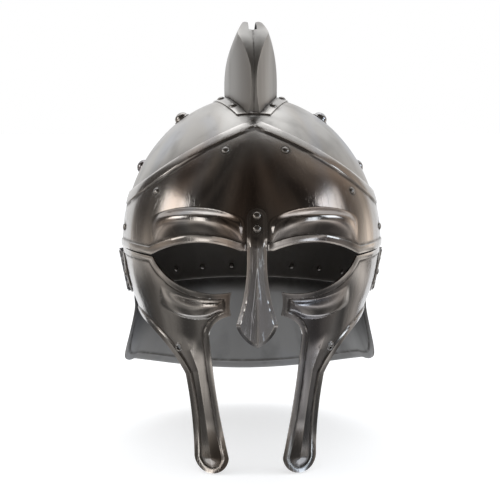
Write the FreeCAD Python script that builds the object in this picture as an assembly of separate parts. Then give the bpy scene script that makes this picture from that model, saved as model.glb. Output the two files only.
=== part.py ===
"""Steel gladiator helmet, in millimetres, +Z up, face towards -Y.

The origin is the centre of the head opening, level with the widest line of the bowl.
A raised bowl carries a hollow comb crest, a brow plate with a nasal bar, a flared neck
guard and a leather liner. Two cheek guards swing on side hinges.
"""

import FreeCAD, Part

import math
import os

from FreeCAD import Matrix, Rotation, Vector

os.makedirs("parts", exist_ok=True)

# Sheet thicknesses and gaps
bowl_sheet = 1.6
neck_sheet = 1.4
brow_sheet = 1.4
cheek_sheet = 1.6
crest_sheet = 1.3
saddle_sheet = 1.2
leaf_sheet = 1.2
lap_gap = 0.25
relief = 0.9
overrun = 30.0

# Bowl: a raised oval dome with a tucked-in skirt at the sides and back
bowl_half_width = 113.0
bowl_half_length = 129.0
bowl_height = 128.0
tuck_radius = 130.0
skirt_depth = 48.0
front_rim_height = 16.0
side_rim_height = 1.0
rim_rise_start = 54.0
rim_rise_end = 80.0
hinge_gap = 4.2
rim_corner_radius = 9.0

# Form of the face below the skirt line
return_radius = 120.0
jaw_straight_depth = 140.0
throat_flare_radius = 150.0

# Neck guard: a lap on the skirt, a bend, then a widening flare
neck_lap = 22.0
neck_bend_radius = 30.0
neck_bend_angle = 10.0
neck_flare_radius = 230.0
neck_flare_angle = 39.0
neck_front_gap = 6.0
neck_leaf_gap = 2.5
neck_front_depth = 72.0
neck_side_setback = 60.0
neck_side_depth = 121.0
neck_corner_sag = -15.0
neck_back_depth = 164.0
neck_back_sag = 3.0

# Brow plate
brow_root_half = 13.0
brow_root_height = 4.0
brow_arch_sag = 9.0
eye_corner_reach = 84.0
eye_corner_drop = 3.0
temple_height = 6.0
temple_setback = 22.0
diadem_apex = 106.0
diadem_sag = 11.0
border_width = 6.0
brow_ridge_radius = 50.0
brow_ridge_section = 11.0
brow_ridge_stand = 7.5
brow_ridge_height = 29.0
brow_ridge_reach = 46.0
brow_ridge_lean = 42.0

# Nasal bar
nasal_tab_half = 8.0
nasal_tab_rise = 38.0
nasal_tab_sag = 2.5
nasal_tip_half = 17.0
nasal_tip_depth = 56.0
nasal_tip_sag = 3.0
nasal_side_sag = 2.5
nasal_length = 73.0
nasal_keel = 7.0
nasal_sheet = 2.0
nasal_stand = 3.0
nasal_lean = 9.0
nasal_root_height = 16.0

# Cheek guards
cheek_top_gap = 2.0
lid_reach = 58.0
lid_depth = 28.0
lid_corner_sag = 3.4
lid_sag = 2.8
nose_side_reach = 20.0
nose_top_depth = 30.0
nose_low_depth = 50.0
nose_side_sag = 1.2
mouth_reach = 38.0
mouth_depth = 68.0
mouth_corner_sag = 4.0
mouth_side_sag = 2.0
lobe_inner_reach = 22.0
lobe_outer_reach = 50.0
lobe_depth = 172.0
lobe_sag = 13.0
lobe_side_sag = 1.5
jaw_reach = 57.0
jaw_depth = 104.0
jaw_sag = 4.0
jaw_corner_reach = 98.0
jaw_corner_depth = 62.0
cheek_rear_radius = 18.0
cheek_border = 4.5
cheek_ridge_radius = 44.0
cheek_ridge_section = 7.0
cheek_ridge_stand = 4.0
cheek_ridge_depth = 49.0
cheek_ridge_reach = 50.0
cheek_ridge_lean = -38.0
thong_hole_radius = 2.5
thong_hole_reach = 63.0
thong_hole_depth = 82.0

# Cheek hinges
hinge_top = 8.0
hinge_length = 36.0
hinge_standoff = 3.6
knuckle_radius = 3.2
knuckle_count = 5
knuckle_gap = 0.25
leaf_reach = 25.0
leaf_shoulder = 15.0
leaf_waist = 7.0
leaf_swing_gap = 0.35
leaf_rivet_near = 10.5
leaf_rivet_far = 19.5
leaf_rivet_spacing = 21.6
pin_radius = 1.6
pin_clearance = 0.06
pin_head_radius = 2.7
pin_head_height = 1.4

# Crest comb: its side line is written in shares of its length and of its stand
crest_front = 64.0
crest_back = 116.0
crest_foot_height = 108.0
crest_stand = 86.0
crest_half_width = 20.0
crest_top_half = 8.0
crest_swell_half = 25.0
crest_side_sag = 9.0
crest_keel_half = 2.2
crest_slot_half = 3.5
crest_slot_front = 40.0
crest_slot_back = 84.0
crest_slot_depth = 70.0
crest_line_shares = (
    (0.0, 0.0),
    (-0.04, 0.26),
    (-0.03, 0.56),
    (0.09, 0.85),
    (0.3, 1.0),
    (0.58, 0.87),
    (0.82, 0.47),
    (0.95, -0.05),
    (1.0, -0.58),
)
saddle_margin = 9.0
saddle_end_half = 14.0
saddle_front_trim = 1.5
saddle_rivet_inset = 4.3
saddle_rivet_count = 5
saddle_rivet_share = 0.8

# Rivets and studs
rivet_head_radius = 3.4
rivet_head_height = 1.9
rivet_shank_radius = 1.6
rivet_tail_radius = 2.6
rivet_tail_height = 0.9
rivet_clearance = 0.08
rivet_seat = 0.12
temple_rivet_setback = 32.0
temple_rivet_height = 15.0
brow_rivet_reach = 80.0
brow_rivet_height = 48.0
diadem_rivet_reach = 24.0
diadem_rivet_height = 82.0
nasal_rivet_low = 21.0
nasal_rivet_high = 31.0
neck_rivet_count = 10
neck_rivet_spread = 73.0
neck_rivet_depth = 37.0
liner_rivet_count = 6
liner_rivet_spread = 75.0
liner_rivet_height = 37.0
strap_rivet_height = 34.0
strap_rivet_head = 1.2
stud_head_radius = 7.5
stud_head_height = 6.0
stud_shares = ((0.54, 0.02), (0.54, 0.34), (0.45, 0.62), (0.85, 0.14), (0.8, 0.42))

# Leather liner
leather = 2.4
liner_gap = 2.2
liner_band_top = 50.0
liner_band_bottom = 24.0
strap_half_width = 13.0
strap_drop = 16.0

length_scale = bowl_half_length / bowl_half_width
tuck_angle = math.asin(skirt_depth / tuck_radius)
skirt_end_radius = bowl_half_width - tuck_radius * (1 - math.cos(tuck_angle))
return_centre_radius = skirt_end_radius + return_radius * math.cos(tuck_angle)
return_centre_drop = skirt_depth + return_radius * math.sin(tuck_angle)
jaw_radius = return_centre_radius - return_radius
flare_centre_radius = jaw_radius + throat_flare_radius
lobe_tip_depth = lobe_depth + lobe_sag
side_reach = bowl_half_width + overrun
front_reach = bowl_half_length + overrun

# Where each sheet lies outside the bowl's inner form
lap_inner = bowl_sheet + lap_gap
brow_outer = lap_inner + brow_sheet
neck_outer = lap_inner + neck_sheet
saddle_outer = lap_inner + saddle_sheet
leaf_inner = cheek_sheet + lap_gap
leaf_outer = leaf_inner + leaf_sheet
nasal_inner = brow_outer + lap_gap
nasal_outer = nasal_inner + nasal_sheet
liner_inner = -liner_gap - leather
strap_outer = liner_inner - lap_gap
strap_inner = strap_outer - leather


def scaled(shape, x, y, z):
    """The shape stretched along the three axes."""
    stretch = Matrix()
    stretch.A11 = x
    stretch.A22 = y
    stretch.A33 = z
    return shape.transformGeometry(stretch)


def lengthened(shape):
    """A round shape drawn out to the helmet's oval plan."""
    return scaled(shape, 1, length_scale, 1)


def mirrored(shape):
    """The shape's mirror image on the other side of the helmet."""
    return shape.mirror(Vector(0, 0, 0), Vector(1, 0, 0))


def form_radius(height, offset=0.0):
    """Half width of the form surface, grown by offset, at a height above the widest line."""
    if height >= 0:
        rise = height / (bowl_height + offset)
        return (bowl_half_width + offset) * math.sqrt(1 - rise * rise)
    if height >= -skirt_depth:
        reach = tuck_radius + offset
        return bowl_half_width - tuck_radius + math.sqrt(reach * reach - height * height)
    if height >= -return_centre_drop:
        reach = return_radius - offset
        drop = height + return_centre_drop
        return return_centre_radius - math.sqrt(reach * reach - drop * drop)
    return jaw_radius + offset


def at_front(x, height):
    """Gives, for each offset, the point on the front of the form at x and height."""

    def spot(offset):
        radius = form_radius(height, offset)
        return Vector(x, -length_scale * math.sqrt(radius * radius - x * x), height)

    return spot


def at_side(y, height):
    """Gives, for each offset, the point on the form's left side at y and height."""

    def spot(offset):
        radius = form_radius(height, offset)
        across = y / length_scale
        return Vector(math.sqrt(radius * radius - across * across), y, height)

    return spot


def at_turn(angle, height):
    """Gives, for each offset, the point at an angle from straight back to the left."""

    def spot(offset):
        radius = form_radius(height, offset)
        turn = math.radians(angle)
        return Vector(radius * math.sin(turn), length_scale * radius * math.cos(turn), height)

    return spot


def at_top(x, y):
    """Gives, for each offset, the point on the crown that shows at x and y from above."""

    def spot(offset):
        width = bowl_half_width + offset
        out = math.hypot(x / width, y / (width * length_scale))
        return Vector(x, y, (bowl_height + offset) * math.sqrt(1 - out * out))

    return spot


def outward(point):
    """Direction square to the form surface at a point on or near it."""
    flat = math.hypot(point.x, point.y / length_scale)
    if point.z >= 0:
        rise = point.z / (bowl_height * bowl_height)
        level = flat / (bowl_half_width * bowl_half_width)
    elif point.z >= -skirt_depth:
        rise = point.z
        level = flat - (bowl_half_width - tuck_radius)
    else:
        rise = -max(0, point.z + return_centre_drop)
        level = return_centre_radius - flat
    across = level * point.x / flat
    along = level * point.y / (flat * length_scale * length_scale)
    return Vector(across, along, rise).normalize()


def arc(first, middle, last):
    return Part.Arc(first, middle, last).toShape()


def line(first, last):
    return Part.LineSegment(first, last).toShape()


def turn_arc(centre, radius, start, end):
    """Arc in the XZ plane about (x, z), between two angles from +X, in radians."""

    def at(angle):
        return Vector(centre[0] + radius * math.cos(angle), 0, centre[1] + radius * math.sin(angle))

    return arc(at(start), at((start + end) / 2), at(end))


def crown_edge(offset):
    """Quarter ellipse from the top of the dome to the widest line."""
    slant = math.sqrt(0.5)
    quarter = arc(Vector(0, 0, 1), Vector(slant, 0, slant), Vector(1, 0, 0))
    return scaled(quarter, bowl_half_width + offset, 1, bowl_height + offset).Edges[0]


def tuck_edge(offset, start=0.0):
    """Arc from the widest line, or from an angle below it, to the skirt's end."""
    centre = (bowl_half_width - tuck_radius, 0)
    return turn_arc(centre, tuck_radius + offset, -start, -tuck_angle)


def bowl_edges(offset):
    """Side line of the bowl: crown and tucked skirt."""
    return [crown_edge(offset), tuck_edge(offset)]


def tuck_edges(offset):
    """Side line of the tucked skirt alone."""
    return [tuck_edge(offset)]


def face_edges(offset):
    """Side line of the face below the widest line: tuck, return, straight jaw, throat flare."""
    straight_top = Vector(jaw_radius + offset, 0, -return_centre_drop)
    straight_end = Vector(jaw_radius + offset, 0, -jaw_straight_depth)
    flare_end = math.asin((lobe_tip_depth + border_width - jaw_straight_depth) / throat_flare_radius)
    return [
        tuck_edge(offset),
        turn_arc(
            (return_centre_radius, -return_centre_drop),
            return_radius - offset,
            math.pi - tuck_angle,
            math.pi,
        ),
        line(straight_top, straight_end),
        turn_arc(
            (flare_centre_radius, -jaw_straight_depth),
            throat_flare_radius - offset,
            math.pi,
            math.pi + flare_end,
        ),
    ]


def neck_edges(offset):
    """Side line of the neck guard: a lap on the skirt, a bend outwards, then the flare."""
    lap_start = math.asin((skirt_depth - neck_lap) / tuck_radius)
    bend = math.radians(neck_bend_angle)
    bend_centre = (
        skirt_end_radius + neck_bend_radius * math.cos(tuck_angle),
        -skirt_depth - neck_bend_radius * math.sin(tuck_angle),
    )
    flare_centre = (
        bend_centre[0] + (neck_flare_radius - neck_bend_radius) * math.cos(bend),
        bend_centre[1] + (neck_flare_radius - neck_bend_radius) * math.sin(bend),
    )
    return [
        tuck_edge(offset, lap_start),
        turn_arc(bend_centre, neck_bend_radius - offset, math.pi - tuck_angle, math.pi + bend),
        turn_arc(
            flare_centre,
            neck_flare_radius - offset,
            math.pi + bend,
            math.pi + math.radians(neck_flare_angle),
        ),
    ]


def wire_ends(edges):
    """First and last points of a side line."""
    first = edges[0].valueAt(edges[0].FirstParameter)
    last = edges[-1].valueAt(edges[-1].LastParameter)
    return first, last


def layer(edges, inner, outer):
    """Closed shell between two offsets of a side line, drawn out to the oval plan."""
    inside = edges(inner)
    outside = edges(outer)
    ends = [line(a, b) for a, b in zip(wire_ends(inside), wire_ends(outside)) if a != b]
    face = Part.Face(Part.Wire(Part.__sortEdges__(inside + outside + ends)))
    return lengthened(face.revolve(Vector(0, 0, 0), Vector(0, 0, 1), 360.0))


def dome_solid(offset):
    """Everything inside the bowl's surface, grown by offset, above the skirt's end."""
    edges = bowl_edges(offset)
    top, bottom = wire_ends(edges)
    foot = Vector(0, 0, bottom.z)
    face = Part.Face(Part.Wire(Part.__sortEdges__(edges + [line(bottom, foot), line(foot, top)])))
    return lengthened(face.revolve(Vector(0, 0, 0), Vector(0, 0, 1), 360.0))


def place_in(view, pair, depth):
    """A drawing point (across, up) as a point in space, for a front, side or top view."""
    across, up = pair
    if view == "front":
        return Vector(across, depth, up)
    if view == "side":
        return Vector(depth, across, up)
    return Vector(across, up, depth)


def bowed(first, last, sag):
    """Arc span between two drawing points that stands off its chord, to the left if positive."""
    run = last[0] - first[0]
    climb = last[1] - first[1]
    chord = math.hypot(run, climb)
    middle = (
        (first[0] + last[0]) / 2 - climb / chord * sag,
        (first[1] + last[1]) / 2 + run / chord * sag,
    )
    return [first, middle, last]


def rounded(first, corner, last):
    """Arc span round a square corner, between points at equal distances from it."""
    near = 1 - math.sqrt(0.5)
    middle = tuple(corner[i] + ((first[i] - corner[i]) + (last[i] - corner[i])) * near for i in (0, 1))
    return [first, middle, last]


def joined(*points):
    """Straight spans through the points, in turn."""
    return [list(pair) for pair in zip(points[:-1], points[1:])]


def rectangle(left, right, low, high):
    """Closed rectangular outline."""
    return joined((left, low), (right, low), (right, high), (left, high), (left, low))


def both_sides(spans):
    """A half outline from the centre line round to it again, with its mirror image."""
    other = [[(-x, up) for x, up in reversed(span)] for span in reversed(spans)]
    return spans + other


def outline(view, spans, depth):
    """Closed wire of spans: two points make a line, three an arc, more a smooth curve."""
    edges = []
    for span in spans:
        points = [place_in(view, pair, depth) for pair in span]
        if len(points) == 2:
            edges.append(line(*points))
        elif len(points) == 3:
            edges.append(arc(*points))
        else:
            curve = Part.BSplineCurve()
            curve.interpolate(points)
            edges.append(curve.toShape())
    return Part.Wire(edges)


def prism(view, spans, start, end, inset=0.0):
    """Solid made by drawing an outline in a view, and drawing it through from start to end."""
    wire = outline(view, spans, start)
    if inset:
        wire = wire.makeOffset2D(-inset)
    return Part.Face(wire).extrude(place_in(view, (0, 0), end - start))


def facing(shape, point, direction):
    """The shape, made standing on +Z, moved to a point and turned to a direction."""
    moved = shape.copy()
    moved.Placement = FreeCAD.Placement(point, Rotation(Vector(0, 0, 1), direction))
    return moved


def turned_pin(shank, head, head_top, head_foot, tail, tail_top, tail_foot):
    """Domed head, shank and flat peened tail about +Z, from radii and heights."""
    slant = math.sqrt(0.5)
    dome = [(0, head_top), (head * slant, head_foot + (head_top - head_foot) * slant), (head, head_foot)]
    rest = joined(
        (head, head_foot),
        (shank, head_foot),
        (shank, tail_top),
        (tail, tail_top),
        (tail, tail_foot),
        (0, tail_foot),
        (0, head_top),
    )
    face = Part.Face(outline("front", [dome] + rest, 0))
    return face.revolve(Vector(0, 0, 0), Vector(0, 0, 1), 360.0)


class Fastening:
    """A group of rivets through a stack of sheets, with the holes that they need."""

    def __init__(self, spots, outer, inner, head=rivet_head_radius, rise=rivet_head_height):
        self.rivets = []
        self.holes = []
        for spot in spots:
            top = spot(outer)
            direction = outward(top)
            grip = (top - spot(inner)).dot(direction)
            tail_top = -grip - rivet_seat
            rivet = turned_pin(
                rivet_shank_radius,
                head,
                rivet_seat + rise,
                rivet_seat,
                rivet_tail_radius,
                tail_top,
                tail_top - rivet_tail_height,
            )
            self.rivets.append(facing(rivet, top, direction))
            depth = grip + overrun
            start = top - direction * (depth - overrun / 2)
            self.holes.append(
                Part.makeCylinder(rivet_shank_radius + rivet_clearance, depth, start, direction)
            )

    def mirror(self):
        """The same group on the other side."""
        other = Fastening([], 0, 0)
        other.rivets = [mirrored(rivet) for rivet in self.rivets]
        other.holes = [mirrored(hole) for hole in self.holes]
        return other

    def doubled(self):
        """The group with its mirror image."""
        other = self.mirror()
        other.rivets = self.rivets + other.rivets
        other.holes = self.holes + other.holes
        return other


def drilled(plate, *groups):
    """The plate with the holes of the groups that pass through it."""
    return plate.cut([hole for group in groups for hole in group.holes])


def spread(count, reach):
    """Even places from -reach to reach."""
    return [reach * (2 * i / (count - 1) - 1) for i in range(count)]


def save(name, *shapes):
    """Writes a node's solids, each one separate, to its STEP file."""
    solids = [solid for shape in shapes for solid in shape.Solids]
    for solid in solids:
        if not solid.isValid() or solid.Volume <= 0:
            print("bad solid in", name)
    whole = solids[0] if len(solids) == 1 else Part.makeCompound(solids)
    whole.exportStep("parts/" + name + ".step")
    print(name, len(solids), "solids", round(sum(solid.Volume for solid in solids)))


def save_pair(name, shapes):
    """Writes a node and its mirror image for the other side."""
    save(name + "_left", *shapes)
    save(name + "_right", *[mirrored(shape) for shape in shapes])


def raised_ridge(spot, stand, ring_radius, section_radius, lean):
    """Ring sunk into a plate so that an arched ridge stands out of it at the spot."""
    level = Vector(spot.x, spot.y / (length_scale * length_scale), 0).normalize()
    angle = math.radians(lean)
    spoke = level * math.cos(angle) + Vector(0, 0, math.sin(angle))
    axis = spoke.cross(level.cross(Vector(0, 0, 1)))
    centre = spot + level * (stand - section_radius) - spoke * ring_radius
    return Part.makeTorus(ring_radius, section_radius, centre, axis)


# Hinge axis of the left cheek guard, following the slope of the side of the face
hinge_high = at_side(0, -hinge_top)(hinge_standoff)
hinge_low = at_side(0, -hinge_top - hinge_length)(hinge_standoff)
hinge_up = (hinge_high - hinge_low).normalize()
hinge_span = (hinge_high - hinge_low).Length
knuckle_pitch = hinge_span / knuckle_count


def hinge_tube(radius, start, end):
    """Cylinder on the hinge axis, between two distances up from its lower end."""
    return Part.makeCylinder(radius, end - start, hinge_low + hinge_up * start, hinge_up)


def hinge_leaf(side, own, other):
    """Leaf on one side of the hinge axis (+1 behind, -1 in front), with its own knuckles."""
    high = -hinge_top - knuckle_gap
    low = -hinge_top - hinge_length + knuckle_gap
    far = side * leaf_reach
    shoulder = side * leaf_shoulder
    plan = joined(
        (0, high),
        (shoulder, high),
        (far, high - leaf_waist),
        (far, low + leaf_waist),
        (shoulder, low),
        (0, low),
        (0, high),
    )
    plate = layer(tuck_edges, leaf_inner, leaf_outer).common(prism("side", plan, 0, side_reach))
    half_gap = knuckle_gap / 2
    for i in other:
        start = i * knuckle_pitch - half_gap
        end = (i + 1) * knuckle_pitch + half_gap
        plate = plate.cut(hinge_tube(knuckle_radius + leaf_swing_gap, start, end))
    barrel = [
        hinge_tube(knuckle_radius, i * knuckle_pitch + half_gap, (i + 1) * knuckle_pitch - half_gap)
        for i in own
    ]
    bore = hinge_tube(pin_radius + pin_clearance, -overrun, hinge_span + overrun)
    return plate.fuse(barrel).cut(bore)


def hinge_pin():
    """Pin with a domed head above the top knuckle and a peened end below the lowest."""
    pin = turned_pin(
        pin_radius,
        pin_head_radius,
        hinge_span + knuckle_gap + pin_head_height,
        hinge_span + knuckle_gap,
        pin_head_radius,
        -knuckle_gap,
        -knuckle_gap - rivet_tail_height,
    )
    return facing(pin, hinge_low, hinge_up)


def bowl_blank():
    """The dome with its face opening and the notches for the cheek guards."""
    deep = -skirt_depth - overrun
    rim = side_rim_height
    notch_top = (hinge_gap, rim - rim_corner_radius)
    notch_front = (hinge_gap - rim_corner_radius, rim)
    notch = joined((-front_reach, deep), (hinge_gap, deep), notch_top)
    notch.append(rounded(notch_top, (hinge_gap, rim), notch_front))
    notch += joined(
        notch_front,
        (-rim_rise_start, rim),
        (-rim_rise_end, front_rim_height),
        (-front_reach, front_rim_height),
        (-front_reach, deep),
    )
    return layer(bowl_edges, 0, bowl_sheet).cut(prism("side", notch, -side_reach, side_reach))


def neck_guard_outline():
    """The guard from the side: a step under the hinge leaf, then a sweep to the back."""
    lap_front = leaf_reach + neck_leaf_gap
    leaf_low = -hinge_top - hinge_length - neck_leaf_gap
    front_low = (neck_front_gap, -neck_front_depth)
    side_low = (neck_side_setback, -neck_side_depth)
    behind = front_reach + neck_bend_radius
    back_low = (behind, -neck_back_depth)
    step = joined((behind, 0), (lap_front, 0), (lap_front, leaf_low), (neck_front_gap, leaf_low), front_low)
    return step + [
        bowed(front_low, side_low, neck_corner_sag),
        bowed(side_low, back_low, neck_back_sag),
        [back_low, (behind, 0)],
    ]


def neck_guard_blank():
    """The flared guard round the sides and back, thickened on both faces along its rim."""
    spans = neck_guard_outline()
    reach = side_reach + neck_bend_radius
    guard = layer(neck_edges, lap_inner - relief, neck_outer + relief)
    guard = guard.common(prism("side", spans, -reach, reach))
    inset = prism("side", spans, -reach, reach, border_width)
    outer_pocket = layer(neck_edges, neck_outer, neck_outer + relief + lap_gap).common(inset)
    inner_pocket = layer(neck_edges, lap_inner - relief - lap_gap, lap_inner).common(inset)
    lap_skin = layer(tuck_edges, neck_outer, neck_outer + relief + lap_gap)
    return guard.cut([outer_pocket, inner_pocket, dome_solid(lap_inner), lap_skin])


def brow_outline():
    """Right half of the brow plate from the front, as spans from the root to the apex."""
    root = (brow_root_half, brow_root_height)
    corner = (eye_corner_reach, -eye_corner_drop)
    temple = (side_reach, temple_height)
    return [
        [(0, brow_root_height), root],
        bowed(root, corner, brow_arch_sag),
        [corner, (side_reach, 0)],
        [(side_reach, 0), temple],
        bowed(temple, (0, diadem_apex), -diadem_sag),
    ]


def brow_plate_blank():
    """Plate with raised border and brows, cut off behind the temples."""
    spans = both_sides(brow_outline())
    plate = layer(bowl_edges, lap_inner, brow_outer + relief)
    plate = plate.common(prism("front", spans, -front_reach, -temple_setback))
    pocket = layer(bowl_edges, brow_outer, brow_outer + relief + lap_gap)
    plate = plate.cut(pocket.common(prism("front", spans, -front_reach, 0, border_width)))
    room = layer(bowl_edges, lap_inner + brow_sheet / 2, brow_outer + brow_ridge_section)
    room = room.common(prism("front", spans, -front_reach, -temple_setback, brow_sheet))
    peak = at_front(brow_ridge_reach, brow_ridge_height)(brow_outer)
    ridge = raised_ridge(
        peak, brow_ridge_stand, brow_ridge_radius, brow_ridge_section, brow_ridge_lean
    ).common(room)
    plate = plate.fuse([ridge, mirrored(ridge)])
    half = nasal_tab_half + lap_gap
    seat = prism("front", rectangle(-half, half, -overrun, nasal_tab_rise + lap_gap), -front_reach, 0)
    spot_face = layer(bowl_edges, brow_outer, brow_outer + brow_ridge_section)
    return plate.cut(spot_face.common(seat))


def nasal_outline():
    """Right half of the nasal bar from the front, from its rounded tip up to its tab."""
    tip = (nasal_tip_half, -nasal_tip_depth)
    neck = (nasal_tab_half, 0)
    shoulder = (nasal_tab_half, nasal_tab_rise - nasal_tab_half)
    return [
        bowed((0, -nasal_length), tip, -nasal_tip_sag),
        bowed(tip, neck, nasal_side_sag),
        [neck, shoulder],
        bowed(shoulder, (0, nasal_tab_rise), -nasal_tab_sag),
    ]


def nasal_blank():
    """A keeled bar that leans forward, fused to a tab curved like the brow."""
    cut_out = prism("front", both_sides(nasal_outline()), -front_reach - nasal_lean, 0)
    tab = layer(bowl_edges, nasal_inner, nasal_outer).common(cut_out)
    start = at_front(0, nasal_root_height)(nasal_inner)
    half = nasal_tip_half + nasal_sheet
    keel = nasal_keel
    front_edge = [(-half, 0), (0, -keel), (half, 0)]
    rear_edge = [(x, y + nasal_sheet) for x, y in reversed(front_edge)]
    section = joined(*front_edge, *rear_edge, front_edge[0])
    face = Part.Face(outline("top", section, nasal_root_height))
    bar = face.extrude(Vector(0, -nasal_lean, -nasal_length - nasal_root_height - nasal_tip_sag))
    bar.translate(Vector(0, start.y + nasal_stand, 0))
    return tab.fuse(bar.common(cut_out).cut(dome_solid(nasal_inner)))


def cheek_outline():
    """Left cheek guard from the front: eye lid, nose side, mouth and lobe, then the jaw."""
    top = (side_reach, -cheek_top_gap)
    corner = (eye_corner_reach, -cheek_top_gap - eye_corner_drop)
    lid = (lid_reach, -lid_depth)
    nose_top = (nose_side_reach, -nose_top_depth)
    nose_low = (nose_side_reach, -nose_low_depth)
    mouth = (mouth_reach, -mouth_depth)
    lobe_inner = (lobe_inner_reach, -lobe_depth)
    lobe_outer = (lobe_outer_reach, -lobe_depth)
    jaw = (jaw_reach, -jaw_depth)
    jaw_corner = (jaw_corner_reach, -jaw_corner_depth)
    far = (side_reach, -jaw_corner_depth)
    return [
        [top, corner],
        bowed(corner, lid, lid_corner_sag),
        bowed(lid, nose_top, lid_sag),
        bowed(nose_top, nose_low, nose_side_sag),
        bowed(nose_low, mouth, mouth_corner_sag),
        bowed(mouth, lobe_inner, mouth_side_sag),
        bowed(lobe_inner, lobe_outer, -lobe_sag),
        bowed(lobe_outer, jaw, lobe_side_sag),
        bowed(jaw, jaw_corner, jaw_sag),
        [jaw_corner, far],
        [far, top],
    ]


def cheek_side_outline():
    """The guard from the side: everything ahead of the hinge, with a round lower corner."""
    far = -front_reach - throat_flare_radius
    low = -jaw_corner_depth
    deep = -lobe_tip_depth - overrun
    above = (-hinge_gap, low + cheek_rear_radius)
    ahead = (-hinge_gap - cheek_rear_radius, low)
    return (
        joined((far, 0), (-hinge_gap, 0), above)
        + [rounded(above, (-hinge_gap, low), ahead)]
        + joined(ahead, (ahead[0], deep), (far, deep), (far, 0))
    )


def cheek_blank():
    """Left cheek guard with a raised border and a cheekbone ridge under the eye."""
    spans = cheek_outline()
    far = -front_reach - throat_flare_radius
    side = prism("side", cheek_side_outline(), 0, side_reach)
    plate = layer(face_edges, 0, cheek_sheet + relief).common(prism("front", spans, far, 0)).common(side)
    pocket = layer(face_edges, cheek_sheet, cheek_sheet + relief + lap_gap)
    plate = plate.cut(pocket.common(prism("front", spans, far, 0, cheek_border)))
    room = layer(face_edges, cheek_sheet / 2, cheek_sheet + cheek_ridge_section)
    room = room.common(prism("front", spans, far, -temple_setback, cheek_sheet))
    peak = at_front(cheek_ridge_reach, -cheek_ridge_depth)(cheek_sheet)
    ridge = raised_ridge(
        peak, cheek_ridge_stand, cheek_ridge_radius, cheek_ridge_section, cheek_ridge_lean
    ).common(room)
    plate = plate.fuse(ridge)
    spot = at_front(thong_hole_reach, -thong_hole_depth)(cheek_sheet)
    direction = outward(spot)
    hole = Part.makeCylinder(thong_hole_radius, overrun, spot - direction * (overrun / 2), direction)
    return plate.cut(hole)


def crest_line(inset):
    """The comb's side line as drawing points, moved in from its outer edge by inset."""
    length = crest_front + crest_back
    points = [
        Vector(along * length - crest_front, crest_foot_height + up * crest_stand, 0)
        for along, up in crest_line_shares
    ]
    curve = Part.BSplineCurve()
    curve.interpolate(points)
    moved = []
    for point in points:
        along = curve.tangent(curve.parameter(point))[0]
        moved.append((point.x + along.y * inset, point.y - along.x * inset))
    return moved


def crest_block(inset):
    """The comb's outer form, or its hollow where inset: side view, wedge and boat plan."""
    curve = crest_line(inset)
    side = [curve] + joined(curve[-1], (curve[-1][0], 0), (curve[0][0], 0), curve[0])
    top = crest_foot_height + crest_stand + overrun
    low = -overrun
    foot = (crest_half_width, crest_foot_height)
    brink = (crest_top_half, top - overrun)
    wedge = (
        joined((0, low), (crest_half_width, low), foot)
        + [bowed(foot, brink, -crest_side_sag)]
        + joined(brink, (crest_top_half, top), (0, top))
    )
    edge = crest_line(0)
    prow = min(across for across, up in edge)
    stern = max(across for across, up in edge)
    middle = (crest_swell_half, (prow + stern) / 2)
    left = [(crest_keel_half, prow), middle, (crest_keel_half, stern)]
    right = [(-x, y) for x, y in reversed(left)]
    plan = [left, [left[-1], right[0]], right, [right[-1], left[0]]]
    block = prism("side", side, -side_reach, side_reach)
    block = block.common(prism("front", both_sides(wedge), -front_reach, front_reach, inset))
    return block.common(prism("top", plan, low, top, inset))


def crest_half():
    """Left sheet of the hollow comb, which meets the right one at the keels."""
    shell = crest_block(0).cut(crest_block(crest_sheet))
    slot_length = crest_slot_front + crest_slot_back
    top = crest_foot_height + crest_stand + overrun
    slot = Part.makeBox(
        crest_slot_half * 2,
        slot_length,
        crest_slot_depth + overrun,
        Vector(-crest_slot_half, -crest_slot_front, top - overrun - crest_slot_depth),
    )
    shell = shell.cut([slot, dome_solid(saddle_outer + lap_gap)])
    return shell.common(Part.makeBox(side_reach, 2 * front_reach, top, Vector(0, -front_reach, 0)))


def saddle_blank():
    """Curved strip under the comb, wide enough for its rivets."""
    front = -crest_front + saddle_front_trim
    back = crest_back
    left = [
        (saddle_end_half, front),
        (crest_swell_half + saddle_margin, (front + back) / 2),
        (saddle_end_half, back),
    ]
    right = [(-x, y) for x, y in reversed(left)]
    plan = [left, [left[-1], right[0]], right, [right[-1], left[0]]]
    return layer(bowl_edges, lap_inner, saddle_outer).common(prism("top", plan, 0, bowl_height + overrun))


def saddle_rivet_spots():
    """Rivets along the saddle's left flange, just inside its edge."""
    middle = (crest_back - crest_front) / 2
    half = (crest_back + crest_front) / 2
    spots = []
    for along in spread(saddle_rivet_count, saddle_rivet_share):
        swell = (crest_swell_half + saddle_margin - saddle_end_half) * (1 - along * along)
        spots.append(at_top(saddle_end_half + swell - saddle_rivet_inset, middle + half * along))
    return spots


def level_room(half_width, half_length, low, high):
    """Upright block about the helmet's axis, used to cut liner pieces to size."""
    corner = Vector(-half_width, -half_length, low)
    return Part.makeBox(2 * half_width, 2 * half_length, high - low, corner)


def liner_strap(half_width, half_length, drop):
    """Strap inside the band that hangs clear of the crown, cut to the given plan."""
    size = {}
    for offset in (strap_outer, strap_inner):
        height = bowl_height - drop + offset - strap_outer
        rise = liner_band_top / height
        width = form_radius(liner_band_top, offset) / math.sqrt(1 - rise * rise)
        size[offset] = scaled(Part.makeSphere(1.0), width, width * length_scale, height)
    crown = size[strap_outer].cut(size[strap_inner])
    crown = crown.common(level_room(half_width, half_length, liner_band_top, bowl_height))
    ends = layer(bowl_edges, strap_inner, strap_outer)
    ends = ends.common(level_room(half_width, half_length, liner_band_bottom, liner_band_top))
    return crown.fuse(ends)


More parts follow.
